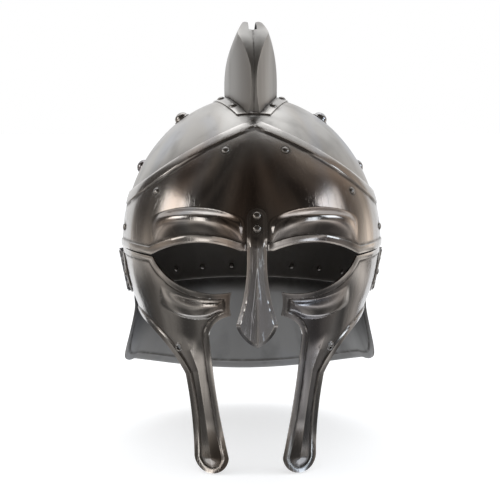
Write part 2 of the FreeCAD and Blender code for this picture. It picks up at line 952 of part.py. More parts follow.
# Rivet groups, each with the offsets of its outermost and innermost sheets
hinge_middle = hinge_top + hinge_length / 2
leaf_rivet_places = (
    (leaf_rivet_near, leaf_rivet_spacing / 2 - hinge_middle),
    (leaf_rivet_near, -leaf_rivet_spacing / 2 - hinge_middle),
    (leaf_rivet_far, -hinge_middle),
)
temple_rivets = Fastening([at_side(-temple_rivet_setback, temple_rivet_height)], brow_outer, 0).doubled()
brow_rivets = Fastening(
    [at_front(brow_rivet_reach, brow_rivet_height), at_front(diadem_rivet_reach, diadem_rivet_height)],
    brow_outer,
    0,
).doubled()
nasal_rivets = Fastening([at_front(0, nasal_rivet_low), at_front(0, nasal_rivet_high)], nasal_outer, 0)
neck_rivets = Fastening(
    [at_turn(angle, -neck_rivet_depth) for angle in spread(neck_rivet_count, neck_rivet_spread)],
    neck_outer,
    0,
)
bowl_leaf_rivets = Fastening([at_side(y, z) for y, z in leaf_rivet_places], leaf_outer, 0)
cheek_leaf_rivets = Fastening([at_side(-y, z) for y, z in leaf_rivet_places], leaf_outer, 0)
saddle_rivets = Fastening(saddle_rivet_spots(), saddle_outer, 0).doubled()
liner_rivets = Fastening(
    [at_turn(angle, liner_rivet_height) for angle in spread(liner_rivet_count, liner_rivet_spread)],
    bowl_sheet,
    liner_inner,
)
strap_rivets = Fastening(
    [at_turn(angle, strap_rivet_height) for angle in (0.0, 90.0, 180.0, 270.0)],
    -liner_gap,
    strap_inner,
    rivet_tail_radius,
    strap_rivet_head,
)
crown_studs = Fastening(
    [at_top(bowl_half_width * across, bowl_half_length * along) for across, along in stud_shares],
    bowl_sheet,
    0,
    stud_head_radius,
    stud_head_height,
).doubled()

# Bowl and the plates fixed to it
save(
    "skull_bowl",
    drilled(
        bowl_blank(),
        temple_rivets,
        brow_rivets,
        nasal_rivets,
        neck_rivets,
        bowl_leaf_rivets.doubled(),
        saddle_rivets,
        liner_rivets,
        crown_studs,
    ),
)
save("neck_guard", drilled(neck_guard_blank(), neck_rivets))
save("brow_plate", drilled(brow_plate_blank(), temple_rivets, brow_rivets, nasal_rivets))
save("nasal_bar", drilled(nasal_blank(), nasal_rivets))
save_pair("crest_half", [crest_half()])
save("crest_saddle", drilled(saddle_blank(), saddle_rivets))

# Cheek guards and their hinges
save_pair("cheek_guard", [drilled(cheek_blank(), cheek_leaf_rivets)])
save_pair("bowl_hinge_leaf", [drilled(hinge_leaf(1, (0, 2, 4), (1, 3)), bowl_leaf_rivets)])
save_pair("cheek_hinge_leaf", [drilled(hinge_leaf(-1, (1, 3), (0, 2, 4)), cheek_leaf_rivets)])
save_pair("hinge_pin", [hinge_pin()])
save_pair("bowl_leaf_rivets", bowl_leaf_rivets.rivets)
save_pair("cheek_leaf_rivets", cheek_leaf_rivets.rivets)

# Rivets and studs
save("temple_rivets", *temple_rivets.rivets)
save("brow_rivets", *brow_rivets.rivets)
save("nasal_rivets", *nasal_rivets.rivets)
save("neck_guard_rivets", *neck_rivets.rivets)
save("saddle_rivets", *saddle_rivets.rivets)
save("liner_rivets", *liner_rivets.rivets)
save("strap_rivets", *strap_rivets.rivets)
save("crown_studs", *crown_studs.rivets)

# Leather liner
band = layer(bowl_edges, liner_inner, -liner_gap)
band = band.common(level_room(side_reach, front_reach, liner_band_bottom, liner_band_top))
lengthwise = liner_strap(strap_half_width, front_reach, strap_drop)
crosswise = liner_strap(side_reach, strap_half_width, strap_drop + leather + lap_gap)
save("liner_band", drilled(band, liner_rivets, strap_rivets))
save("liner_strap_lengthwise", drilled(lengthwise, strap_rivets))
save("liner_strap_crosswise", drilled(crosswise, strap_rivets))
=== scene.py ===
import bpy
import math
import random

from mathutils import Matrix, Quaternion, Vector, noise
from mathutils.kdtree import KDTree


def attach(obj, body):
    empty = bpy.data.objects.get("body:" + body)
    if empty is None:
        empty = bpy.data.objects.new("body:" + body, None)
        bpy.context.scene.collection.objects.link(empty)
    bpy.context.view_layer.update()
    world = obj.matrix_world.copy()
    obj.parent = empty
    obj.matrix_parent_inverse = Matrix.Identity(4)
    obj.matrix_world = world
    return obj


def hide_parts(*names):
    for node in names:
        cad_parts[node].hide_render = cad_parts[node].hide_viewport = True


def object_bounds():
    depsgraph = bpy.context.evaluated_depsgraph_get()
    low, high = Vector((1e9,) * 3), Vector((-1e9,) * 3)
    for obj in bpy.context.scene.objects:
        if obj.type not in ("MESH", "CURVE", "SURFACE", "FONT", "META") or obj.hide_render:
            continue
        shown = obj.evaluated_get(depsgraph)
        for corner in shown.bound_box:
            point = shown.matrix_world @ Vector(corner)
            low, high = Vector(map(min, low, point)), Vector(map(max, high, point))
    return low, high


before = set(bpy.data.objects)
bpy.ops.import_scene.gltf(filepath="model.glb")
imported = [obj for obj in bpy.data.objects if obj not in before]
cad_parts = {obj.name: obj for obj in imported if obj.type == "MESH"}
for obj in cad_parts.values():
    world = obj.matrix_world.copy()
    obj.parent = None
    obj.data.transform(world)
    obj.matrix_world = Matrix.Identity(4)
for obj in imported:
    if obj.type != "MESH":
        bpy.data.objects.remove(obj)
cad_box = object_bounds()
random.seed(4)
mm = 0.001

# Form of the bowl, face and throat, in millimetres
bowl_half_width = 113.0
bowl_half_length = 129.0
bowl_height = 128.0
tuck_radius = 130.0
skirt_depth = 48.0
return_radius = 120.0
jaw_straight_depth = 140.0
throat_flare_radius = 150.0
length_scale = bowl_half_length / bowl_half_width
tuck_angle = math.asin(skirt_depth / tuck_radius)
skirt_end_radius = bowl_half_width - tuck_radius * (1 - math.cos(tuck_angle))
return_centre_radius = skirt_end_radius + return_radius * math.cos(tuck_angle)
return_centre_drop = skirt_depth + return_radius * math.sin(tuck_angle)
jaw_radius = return_centre_radius - return_radius

# How far each sheet's outer face stands off the form
lap_gap = 0.25
bowl_stand = 1.6
plate_sheet = 1.4
strip_sheet = 1.2
lap = bowl_stand + lap_gap
brow_stand = lap + plate_sheet
neck_stand = lap + plate_sheet
saddle_stand = lap + strip_sheet
leaf_stand = lap + strip_sheet
cheek_stand = 1.6
nasal_sheet = 2.0
nasal_stand = brow_stand + lap_gap + nasal_sheet
relief = 0.9
liner_outer = -2.2
leather = 2.4
liner_inner = liner_outer - leather

# Steps and limits for finding directions and places on the form
halvings = 22
small_turn = 0.01
small_rise = 1.0
form_top = bowl_height - 0.2
form_foot = -184.0


# Places on the form
def side_line(height, stand):
    """Radius and height of the form's side line, moved out square to itself by stand."""
    if height >= 0:
        rise = math.asin(min(1.0, height / bowl_height))
        return (bowl_half_width + stand) * math.cos(rise), (bowl_height + stand) * math.sin(rise)
    if height >= -skirt_depth:
        slope = math.asin(-height / tuck_radius)
        reach = tuck_radius + stand
        return bowl_half_width - tuck_radius + reach * math.cos(slope), -reach * math.sin(slope)
    if height >= -return_centre_drop:
        slope = math.asin((height + return_centre_drop) / return_radius)
        reach = return_radius - stand
        radius = return_centre_radius - reach * math.cos(slope)
        return radius, reach * math.sin(slope) - return_centre_drop
    if height >= -jaw_straight_depth:
        return jaw_radius + stand, height
    slope = math.asin((height + jaw_straight_depth) / throat_flare_radius)
    reach = throat_flare_radius - stand
    centre = jaw_radius + throat_flare_radius
    return centre - reach * math.cos(slope), reach * math.sin(slope) - jaw_straight_depth



def form_radius(height):
    return side_line(height, 0.0)[0]


def on_form(turn, height, stand=0.0):
    """Point at an angle from straight ahead towards the left side, and a height."""
    radius, up = side_line(height, stand)
    return Vector((radius * math.sin(turn), -length_scale * radius * math.cos(turn), up))


def outward(turn, height):
    """Direction square to the form."""
    across = on_form(turn + small_turn, height) - on_form(turn - small_turn, height)
    high, low = min(height + small_rise, form_top), max(height - small_rise, form_foot)
    return across.cross(on_form(turn, high) - on_form(turn, low)).normalized()


def at_front(x, height):
    return math.asin(max(-1.0, min(1.0, x / form_radius(height)))), height


def at_side(y, height):
    return math.acos(max(-1.0, min(1.0, -y / (length_scale * form_radius(height))))), height


def at_back(angle, height):
    return math.pi - math.radians(angle), height


def at_top(x, y):
    out = math.hypot(x / bowl_half_width, y / bowl_half_length)
    return math.atan2(x, -y / length_scale), bowl_height * math.sqrt(1 - out * out)


def smooth(low, high, value):
    share = max(0.0, min(1.0, (value - low) / (high - low)))
    return share * share * (3 - 2 * share)


def mix(a, b, share):
    return a + (b - a) * share


def crossing(low, high, below):
    """Place between low and high up to which below holds."""
    for _ in range(halvings):
        middle = (low + high) / 2
        if below(middle):
            low = middle
        else:
            high = middle
    return (low + high) / 2


def straight(first, last):
    a, b = Vector(first), Vector(last)
    return lambda share: a.lerp(b, share)


def bowed(first, last, sag):
    """Arc between two drawing points that stands off its chord, as a function of its share."""
    a, b = Vector(first), Vector(last)
    half = (b - a).length / 2
    side = Vector((a.y - b.y, b.x - a.x)).normalized()
    radius = (half * half + sag * sag) / (2 * abs(sag))
    centre = (a + b) / 2 + side * math.copysign(1, sag) * (abs(sag) - radius)
    start, end = a - centre, b - centre
    sweep = math.atan2(start.x * end.y - start.y * end.x, start.dot(end))

    def point(share):
        c, s = math.cos(sweep * share), math.sin(sweep * share)
        return centre + Vector((start.x * c - start.y * s, start.x * s + start.y * c))

    return point


def chain(*parts):
    """Curves one after another, each with its part of the whole share."""
    total = sum(part for part, curve in parts)

    def point(share):
        left = share * total
        for part, curve in parts[:-1]:
            if left <= part:
                return curve(left / part)
            left -= part
        return parts[-1][1](min(1.0, left / parts[-1][0]))

    return point


def edge_finder(*curves):
    """Distance in a drawing from the nearest of its edge curves."""
    count = 500
    tree = KDTree(len(curves) * (count + 1))
    for i, curve in enumerate(curves):
        for j in range(count + 1):
            point = curve(j / count)
            tree.insert((point.x, point.y, 0), i)
    tree.balance()
    return lambda x, y: tree.find((x, y, 0))[2]


def laid_out(length, near, far, count):
    """Shares across a strip: lines at set distances from both edges, even ones between."""
    room = near[-1] + far[-1]
    tight = min(1.0, 0.8 * length / room) if room > 0 else 1.0
    first = [tight * d / length for d in near]
    last = [1 - tight * d / length for d in reversed(far)]
    between = count + 2 - len(near) - len(far)
    gap = (last[0] - first[-1]) / between
    return first + [first[-1] + gap * i for i in range(1, between)] + last


# Fastenings: places on the form, and how far out each head and tail sits
rivet_radius = 3.4
rivet_rise = 1.9
tail_radius = 2.6
tail_rise = 0.9


def both(*places):
    return list(places) + [(-turn, height) for turn, height in places]


def spread(count, reach):
    return [reach * (2 * i / (count - 1) - 1) for i in range(count)]


crest_front = 64.0
crest_back = 116.0
crest_swell_half = 25.0
saddle_end_half = 14.0
saddle_front = -62.5
saddle_full_half = crest_swell_half + 9.0
saddle_rivet_inset = 4.3


def saddle_rivet_places():
    middle = (crest_back - crest_front) / 2
    half = (crest_back + crest_front) / 2
    places = []
    for along in spread(5, 0.8):
        swell = (saddle_full_half - saddle_end_half) * (1 - along * along)
        x = saddle_end_half + swell - saddle_rivet_inset
        places.append(at_top(x, middle + half * along))
    return places


leaf_places = ((10.5, -15.2), (10.5, -36.8), (19.5, -26.0))
stud_shares = ((0.54, 0.02), (0.54, 0.34), (0.45, 0.62), (0.85, 0.14), (0.8, 0.42))
stud_radius = 7.5
grime_shade_spread = 1.3
grime_shade_reach = 8.0
fastenings = {
    "temple_rivets": (both(at_side(-32, 15)), brow_stand, 0.0),
    "brow_rivets": (both(at_front(80, 48), at_front(24, 82)), brow_stand, 0.0),
    "nasal_rivets": ([at_front(0, 21), at_front(0, 31)], nasal_stand, 0.0),
    "neck_guard_rivets": ([at_back(angle, -37) for angle in spread(10, 73)], neck_stand, 0.0),
    "bowl_leaf_rivets_left": ([at_side(y, z) for y, z in leaf_places], leaf_stand, 0.0),
    "cheek_leaf_rivets_left": ([at_side(-y, z) for y, z in leaf_places], leaf_stand, 0.0),
    "saddle_rivets": (both(*saddle_rivet_places()), saddle_stand, 0.0),
    "liner_rivets": ([at_back(angle, 37) for angle in spread(6, 75)], bowl_stand, liner_inner),
}
stud_places = both(*[at_top(bowl_half_width * x, bowl_half_length * y) for x, y in stud_shares])
head_spots, head_radii = [], []
for places, outer, inner in fastenings.values():
    head_spots += [on_form(*place, outer) for place in places]
    head_radii += [rivet_radius] * len(places)
head_spots += [on_form(*place, bowl_stand) for place in stud_places]
head_radii += [stud_radius] * len(stud_places)
head_tree = KDTree(len(head_spots))
for index, spot in enumerate(head_spots):
    head_tree.insert((abs(spot.x), spot.y, spot.z), index)
head_tree.balance()


def head_grime_shade(point):
    """Grime with painted shade that gathers round the nearest rivet head or stud."""
    index, distance = head_tree.find((abs(point.x), point.y, point.z))[1:]
    gap = distance - head_radii[index]
    return math.exp(-max(0.0, gap) / grime_shade_spread) if gap < grime_shade_reach else 0.0


# Making pieces
add_ball = bpy.ops.mesh.primitive_uv_sphere_add
add_grid = bpy.ops.mesh.primitive_grid_add
add_rod = bpy.ops.mesh.primitive_cylinder_add
add_ring = bpy.ops.mesh.primitive_torus_add
add_plane = bpy.ops.mesh.primitive_plane_add


def set_mode(mode):
    bpy.ops.object.mode_set(mode=mode)


def clear():
    if bpy.context.mode != "OBJECT":
        set_mode("OBJECT")
    bpy.ops.object.select_all(action="DESELECT")


def take(piece):
    clear()
    bpy.context.view_layer.objects.active = piece
    piece.select_set(True)


def fresh(add, name, **values):
    """A new piece, made by one of Blender's own add operators."""
    clear()
    add(**values)
    piece = bpy.context.object
    piece.name = name
    return piece


def shape(piece, place):
    """Sets every point of a piece to its place, and keeps its wear, and its grime with painted
    shade.
    """
    mesh = piece.data
    worn, grime_shade_values = [], []
    for vertex in mesh.vertices:
        point, rubbed, grime_shade_share = place(vertex.co.copy())
        worn.append(rubbed)
        grime_shade_values.append(max(grime_shade_share, head_grime_shade(point)))
        vertex.co = point * mm
    for name, values in (("wear", worn), ("grime_shade", grime_shade_values)):
        mesh.attributes.new(name, "FLOAT", "POINT").data.foreach_set("value", values)


def sheet(name, columns, rows, place):
    """A divided flat sheet whose crossings are set to their places."""
    piece = fresh(add_grid, name, x_subdivisions=columns, y_subdivisions=rows, size=2)
    shape(piece, lambda co: place(round((co.x + 1) / 2 * columns), round((co.y + 1) / 2 * rows)))
    merge(piece)
    return piece


def edit_all(piece):
    take(piece)
    set_mode("EDIT")
    bpy.ops.mesh.select_all(action="SELECT")


def merge(piece):
    edit_all(piece)
    bpy.ops.mesh.remove_doubles(threshold=1e-5)
    set_mode("OBJECT")


def modify(piece, kind, **values):
    take(piece)
    modifier = piece.modifiers.new(kind.title(), kind)
    for key, value in values.items():
        setattr(modifier, key, value)
    bpy.ops.object.modifier_apply(modifier=modifier.name)


def soften(piece, angle=35):
    take(piece)
    bpy.ops.object.shade_smooth_by_angle(angle=math.radians(angle))


def ease(piece, width, segments=2, angle=1.2):
    """Rounds the edges that are sharper than an angle in radians."""
    values = {"width": width * mm, "segments": segments, "angle_limit": angle}
    modify(piece, "BEVEL", limit_method="ANGLE", **values)


def thicken(piece, thickness, outer, inner, edge=0.3, segments=2, angle=35, inside=(0, 0, 0)):
    """Turns a sheet's faces away from a point inside the helmet and gives it its thickness
    inwards, with its own finish there, and rounded cut edges."""
    mesh, inside = piece.data, Vector(inside) * mm
    if sum((face.center - inside).dot(face.normal) * face.area for face in mesh.polygons) < 0:
        mesh.flip_normals()
    mesh.materials.append(outer)
    mesh.materials.append(inner)
    values = {"offset": -1.0, "use_even_offset": False, "material_offset": 1}
    modify(piece, "SOLIDIFY", thickness=thickness * mm, **values)
    ease(piece, edge, segments)
    soften(piece, angle)
    return piece


def duplicate(piece):
    """A copy with its own mesh."""
    twin = piece.copy()
    twin.data = piece.data.copy()
    bpy.context.collection.objects.link(twin)
    return twin


def mirrored(piece, name):
    """A copy on the other side."""
    twin = duplicate(piece)
    twin.name = name
    for vertex in twin.data.vertices:
        vertex.co.x = -vertex.co.x
    twin.data.flip_normals()
    return twin


def move(piece, turned, spot):
    for vertex in piece.data.vertices:
        vertex.co = turned @ vertex.co + spot


def stand_out(piece, turn, height, stand=0.0):
    """Turns a piece to face out of the form and sets it there."""
    turned = Vector((0, 0, 1)).rotation_difference(outward(turn, height))
    move(piece, turned, on_form(turn, height, stand) * mm)


def joined(name, pieces):
    take(pieces[0])
    for piece in pieces:
        piece.select_set(True)
    if len(pieces) > 1:
        bpy.ops.object.join()
    pieces[0].name = name
    return pieces[0]


def settle(piece):
    """Puts the piece's place into its mesh."""
    take(piece)
    bpy.ops.object.transform_apply(location=True, rotation=True, scale=True)


def pick(piece, chosen):
    """In edit mode, with only the faces that are chosen by their normals."""
    take(piece)
    set_mode("EDIT")
    bpy.ops.mesh.select_mode(type="FACE")
    bpy.ops.mesh.select_all(action="DESELECT")
    set_mode("OBJECT")
    for face in piece.data.polygons:
        face.select = chosen(face.normal)
    set_mode("EDIT")


def finish_piece(piece, body, slot, *nodes):
    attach(piece, body)
    if nodes:
        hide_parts(*nodes)


def copies(name, model, spots):
    """Copies of a model set on their spots and turned to face outwards, as one piece."""
    made = []
    for origin, direction in spots:
        turned = Vector((0, 0, 1)).rotation_difference(direction)
        turned = turned @ Quaternion((0, 0, 1), random.uniform(0, math.tau))
        made.append(duplicate(model))
        move(made[-1], turned, origin * mm)
    return joined(name, made)


# Materials
def feed(tree, node, inputs):
    """Sets each input of a node to its value, or links it to the output that drives it."""
    for name, value in inputs.items():
        if isinstance(value, bpy.types.NodeSocket):
            tree.links.new(value, node.inputs[name])
        else:
            node.inputs[name].default_value = value


def add_node(tree, kind, output, inputs, **settings):
    """Makes a node and returns the output that is asked for."""
    node = tree.nodes.new("ShaderNode" + kind)
    for key, value in settings.items():
        setattr(node, key, value)
    feed(tree, node, inputs)
    return node.outputs[output]


def new_material(name):
    material = bpy.data.materials.new(name)
    material.use_nodes = True
    return material, material.node_tree


def shaded(colour, share):
    return tuple(min(1.0, part * share) for part in colour)


class Finish:
    """A procedural finish, built up from nodes."""

    def __init__(self, name, metallic=1.0):
        self.material, self.tree = new_material(name)
        self.shader = self.tree.nodes["Principled BSDF"]
        self.shader.inputs["Metallic"].default_value = metallic
        self.place = self.add("TexCoord", "Object", {})
        self.normal = None

    def add(self, kind, output, inputs, **settings):
        return add_node(self.tree, kind, output, inputs, **settings)

    def noise(self, scale, detail=2.0, stretch=(1, 1, 1), distortion=0.0):
        place = self.add("Mapping", "Vector", {"Vector": self.place, "Scale": stretch})
        inputs = {"Vector": place, "Scale": scale, "Detail": detail, "Distortion": distortion}
        return self.add("TexNoise", "Fac", inputs)

    def cells(self, scale, feature="F1"):
        inputs = {"Vector": self.place, "Scale": scale}
        return self.add("TexVoronoi", "Distance", inputs, feature=feature)

    def ranged(self, source, low, high, to_low=0.0, to_high=1.0):
        inputs = {"Value": source, "From Min": low, "From Max": high}
        return self.add("MapRange", "Result", {**inputs, "To Min": to_low, "To Max": to_high})

    def combined(self, operation, a, b):
        return self.add("Math", "Value", {0: a, 1: b}, operation=operation)

    def blend(self, share, a, b):
        a, b = ((*tone, 1) if isinstance(tone, tuple) else tone for tone in (a, b))
        return self.add("Mix", "Result", {"Factor": share, "A": a, "B": b}, data_type="RGBA")

    def over(self, tone, colour, source, low, high, most=1.0):
        """Lays a colour over a tone, from none where the source is low to the most where high."""
        return self.blend(self.ranged(source, low, high, 0.0, most), tone, colour)

    def marked(self, name, scale, detail, low, high, least, most):
        """Wear, or grime with painted shade, of the mesh, broken up by noise."""
        marks = self.add("Attribute", "Fac", {}, attribute_name=name)
        patchy = self.ranged(self.noise(scale, detail), low, high, least, most)
        return self.combined("MULTIPLY", marks, patchy)

    def raise_by(self, height, distance):
        inputs = {"Height": height, "Distance": distance * mm}
        if self.normal:
            inputs["Normal"] = self.normal
        self.normal = self.add("Bump", "Normal", inputs)

    def done(self, colour, rough):
        inputs = {"Base Color": colour, "Roughness": rough, "Normal": self.normal}
        feed(self.tree, self.shader, inputs)
        return self.material


def worked_steel(name, colour, tint, dark, rough, wave, scratch=0.02, tint_share=0.6):
    """Steel raised by hammer: tone clouds, heat tint, streaks, grime with painted shade in the
    corners, rubbed edges.
    The waves and scratches are so many millimetres deep."""
    look = Finish(name)
    clouds = look.noise(scale=11, detail=3, stretch=(1, 1, 0.3), distortion=0.6)
    heat = look.noise(scale=8, detail=2, stretch=(1, 1, 0.25), distortion=1.0)
    cool = look.noise(scale=6.3, detail=2, stretch=(1, 1, 0.3), distortion=1.4)
    streaks = look.noise(scale=38, detail=6, stretch=(1, 1, 0.05), distortion=0.3)
    scores = look.noise(scale=9, detail=8, stretch=(22, 22, 1.2), distortion=0.8)
    blued = (colour[0] * 0.68, colour[1] * 0.78, colour[2] * 0.98)
    tone = look.over(colour, shaded(colour, 0.8), clouds, 0.38, 0.66)
    tone = look.over(tone, tint, heat, 0.48, 0.68, tint_share)
    tone = look.over(tone, blued, cool, 0.52, 0.68, 0.6)
    tone = look.over(tone, shaded(colour, 0.5), streaks, 0.52, 0.7, 0.4)
    # painted shade with grime: darkens the steel toward its dark colour in corners, at border feet
    # and round rivet heads
    grime_shade_share = look.marked("grime_shade", 120, 4, low=0.3, high=0.55, least=0.35, most=1.0)
    tone = look.blend(grime_shade_share, tone, dark)
    rubbed = look.marked("wear", 60, 3, low=0.35, high=0.6, least=0.2, most=0.9)
    tone = look.blend(rubbed, tone, shaded(colour, 1.55))
    gloss = look.ranged(clouds, 0.3, 0.7, rough - 0.035, rough + 0.05)
    gloss = look.combined("ADD", gloss, look.ranged(streaks, 0.45, 0.75, 0.0, 0.09))
    gloss = look.combined("ADD", gloss, look.combined("MULTIPLY", grime_shade_share, 0.3))
    look.raise_by(look.noise(scale=16), wave)
    look.raise_by(look.cells(75, "SMOOTH_F1"), wave * 0.12)
    look.raise_by(look.ranged(scores, 0.56, 0.6), scratch)
    look.raise_by(look.ranged(look.cells(420), 0.0, 0.12), 0.012)
    return look.done(tone, gloss)


def tanned_leather(name, colour, dark):
    look = Finish(name, metallic=0.0)
    clouds = look.noise(scale=18, detail=5, distortion=0.5)
    creases = look.noise(scale=70, detail=6, stretch=(1, 1, 2.4), distortion=1.6)
    tone = look.over(colour, dark, clouds, 0.35, 0.68)
    tone = look.over(tone, dark, creases, 0.55, 0.68, 0.5)
    rubbed = look.marked("wear", 90, 3, low=0.35, high=0.6, least=0.1, most=0.6)
    tone = look.blend(rubbed, tone, shaded(colour, 1.9))
    # painted shade with grime: darkens the leather round the rivet heads
    grime_shade = look.add("Attribute", "Fac", {}, attribute_name="grime_shade")
    tone = look.blend(look.combined("MULTIPLY", grime_shade, 0.7), tone, dark)
    look.raise_by(creases, 0.5)
    look.raise_by(look.cells(900, "SMOOTH_F1"), 0.12)
    return look.done(tone, look.ranged(clouds, 0.3, 0.7, 0.5, 0.72))


def waxed_thread(name, colour):
    look = Finish(name, metallic=0.0)
    twist = look.noise(scale=800, stretch=(1, 1, 3))
    tone = look.over(colour, shaded(colour, 0.6), twist, 0.35, 0.65)
    look.raise_by(twist, 0.1)
    return look.done(tone, look.ranged(twist, 0.3, 0.7, 0.6, 0.75))


# Each steel with its colour, heat tint, and dark colour for grime with painted shade
polished_steel = worked_steel(
    "polished_steel", (0.42, 0.408, 0.395), (0.25, 0.175, 0.13), (0.04, 0.034, 0.03),
    rough=0.16, wave=0.1, tint_share=0.75,
)
bowl_steel = worked_steel(
    "bowl_steel", (0.56, 0.55, 0.535), (0.38, 0.33, 0.28), (0.07, 0.06, 0.05),
    rough=0.38, wave=0.25, tint_share=0.5,
)
crest_steel = worked_steel(
    "crest_steel", (0.36, 0.353, 0.343), (0.24, 0.205, 0.17), (0.05, 0.043, 0.037),
    rough=0.42, wave=0.15, tint_share=0.5,
)
inner_steel = worked_steel(
    "inner_steel", (0.3, 0.292, 0.285), (0.21, 0.175, 0.145), (0.15, 0.135, 0.12),
    rough=0.5, wave=0.6, scratch=0.03,
)
dull_steel = worked_steel(
    "dull_steel", (0.19, 0.19, 0.19), (0.15, 0.143, 0.136), (0.06, 0.055, 0.05),
    rough=0.42, wave=0.35, tint_share=0.3,
)
hinge_steel = worked_steel(
    "hinge_steel", (0.3, 0.29, 0.28), (0.19, 0.16, 0.13), (0.05, 0.045, 0.04),
    rough=0.3, wave=0.15,
)
rivet_steel = worked_steel(
    "rivet_steel", (0.33, 0.32, 0.31), (0.2, 0.17, 0.14), (0.05, 0.045, 0.04),
    rough=0.26, wave=0.2,
)
liner_leather = tanned_leather("liner_leather", (0.12, 0.062, 0.034), (0.035, 0.019, 0.012))
liner_thread = waxed_thread("liner_thread", (0.4, 0.32, 0.2))


# Raised borders
border_step = 0.35
border_beside = 1.5
border_crown = 0.15


def bell(off, spread):
    """1 where off is 0, falling away to both sides."""
    return math.exp(-((off / spread) ** 2))


def border_lines(width):
    """Distances from an edge at which a raised border needs its grid lines."""
    brink, foot = width - border_step, width + border_step
    return (0.0, width * 0.3, width * 0.7, brink, width, foot, width + border_beside)


def border_rise(edge, width, step=border_step):
    """Height of the raised border, lightly crowned, at a distance from the edge."""
    crown = border_crown * math.sin(math.pi * min(1.0, edge / width))
    return (relief + crown) * (1 - smooth(width - step, width + step, edge))


def border_marks(edge, width):
    """Wear along an edge and at the border's brink, and grime with painted shade at its foot."""
    wear = max(math.exp(-edge / 0.9), 0.6 * bell(edge - width + 0.5, 0.5))
    return wear, 0.85 * bell(edge - width - 0.8, 1.1)


# Skull bowl
front_rim_height = 16.0
side_rim_height = 1.0
rim_rise_start = 54.0
rim_rise_end = 80.0
hinge_gap = 4.2
rim_corner = 9.0


def bowl_rim(turn):
    """Height of the bowl's lower edge at a turn from straight ahead."""
    y = -length_scale * bowl_half_width * math.cos(turn)
    if y > hinge_gap:
        return -skirt_depth
    if y > hinge_gap - rim_corner:
        into = (y - hinge_gap + rim_corner) / rim_corner
        return side_rim_height - rim_corner * (1 - math.sqrt(max(0.0, 1 - into * into)))
    share = (-y - rim_rise_start) / (rim_rise_end - rim_rise_start)
    return mix(side_rim_height, front_rim_height, max(0.0, min(1.0, share)))


def beside_step(turn, step_turn):
    """The turn just on its own side of a step in an edge."""
    return step_turn + math.copysign(0.001, turn - step_turn)


def make_bowl():
    """A ball, opened below, drawn to the bowl's form down to its rim."""
    rings = 96
    segments = 288
    piece = fresh(add_ball, "skull_bowl_shell", segments=segments, ring_count=rings, radius=1)
    pick(piece, lambda normal: normal.z < -math.cos(math.pi / rings))
    bpy.ops.mesh.delete(type="FACE")
    set_mode("OBJECT")
    last = math.pi * (1 - 1 / rings)
    near_notch = 1.008 * math.pi / segments
    notch_turn = math.acos(-hinge_gap / (length_scale * bowl_half_width))
    crown = math.pi / 2 * bowl_half_width

    def place(co):
        down = math.acos(max(-1.0, min(1.0, co.z))) / last
        turn = math.atan2(co.x, -co.y)
        if abs(abs(turn) - notch_turn) < near_notch:
            turn = math.copysign(beside_step(abs(turn), notch_turn), turn)
        rim = bowl_rim(abs(turn))
        end = crown - rim if rim < 0 else crown - bowl_half_width * math.asin(rim / bowl_height)
        path = down * (crown + skirt_depth)
        if path > end - 1.0:
            path = end
        if path <= crown:
            height = bowl_height * math.cos(path / bowl_half_width)
        else:
            height = max(crown - path, -skirt_depth)
        return on_form(turn, height, bowl_stand), math.exp(-(end - path) / 1.2), 0.0

    shape(piece, place)
    merge(piece)
    return thicken(piece, bowl_stand, bowl_steel, inner_steel)


# Brow plate
brow_root = (13.0, 4.0)
eye_corner_reach = 84.0
eye_corner_drop = 3.0
temple = (143.0, 6.0)
temple_setback = 22.0
diadem_apex = (0.0, 106.0)
brow_border = 6.0
nasal_tab_half = 8.0
nasal_tab_rise = 38.0
nasal_seat_gap = 0.3
nasal_seat_fade = 1.8
brow_inner_fade = 6.0
brow_middle = 46.0
brow_reach = 38.0
brow_crest = 29.0
brow_crest_fall = 17.0
brow_slope_above = 8.0
brow_slope_below = 15.0
brow_swell_rise = 7.0
brow_arch = bowed(brow_root, (eye_corner_reach, -eye_corner_drop), 9.0)
diadem_line = bowed(temple, diadem_apex, -11.0)


def height_on(curve, x):
    """Height at which a drawn curve crosses x."""
    rising = curve(1.0).x > curve(0.0).x
    return curve(crossing(0.0, 1.0, lambda share: (curve(share).x < x) == rising)).y


def brow_low(turn):
    x = bowl_half_width * math.sin(abs(turn))
    if x <= brow_root[0]:
        return brow_root[1]
    if x <= eye_corner_reach:
        return height_on(brow_arch, x)
    return mix(-eye_corner_drop, 0.0, (x - eye_corner_reach) / (temple[0] - eye_corner_reach))


def brow_high(turn):
    def below(height):
        return height_on(diadem_line, form_radius(height) * math.sin(abs(turn))) > height

    return crossing(0.0, diadem_apex[1] + 2, below)


def brow_swell(x, height):
    """How far the brow stands out of the plate at x and height."""
    along = (abs(x) - brow_middle) / brow_reach
    if abs(along) >= 1:
        return 0.0
    off = height - brow_crest + brow_crest_fall * (1 - math.sqrt(1 - along * along * 0.85))
    across = abs(off) / (brow_slope_above if off > 0 else brow_slope_below)
    if across >= 1:
        return 0.0
    swell = (1 - along**4) * (1 - along * along) ** 0.35 * (1 - across * across) ** 1.4
    return brow_swell_rise * swell


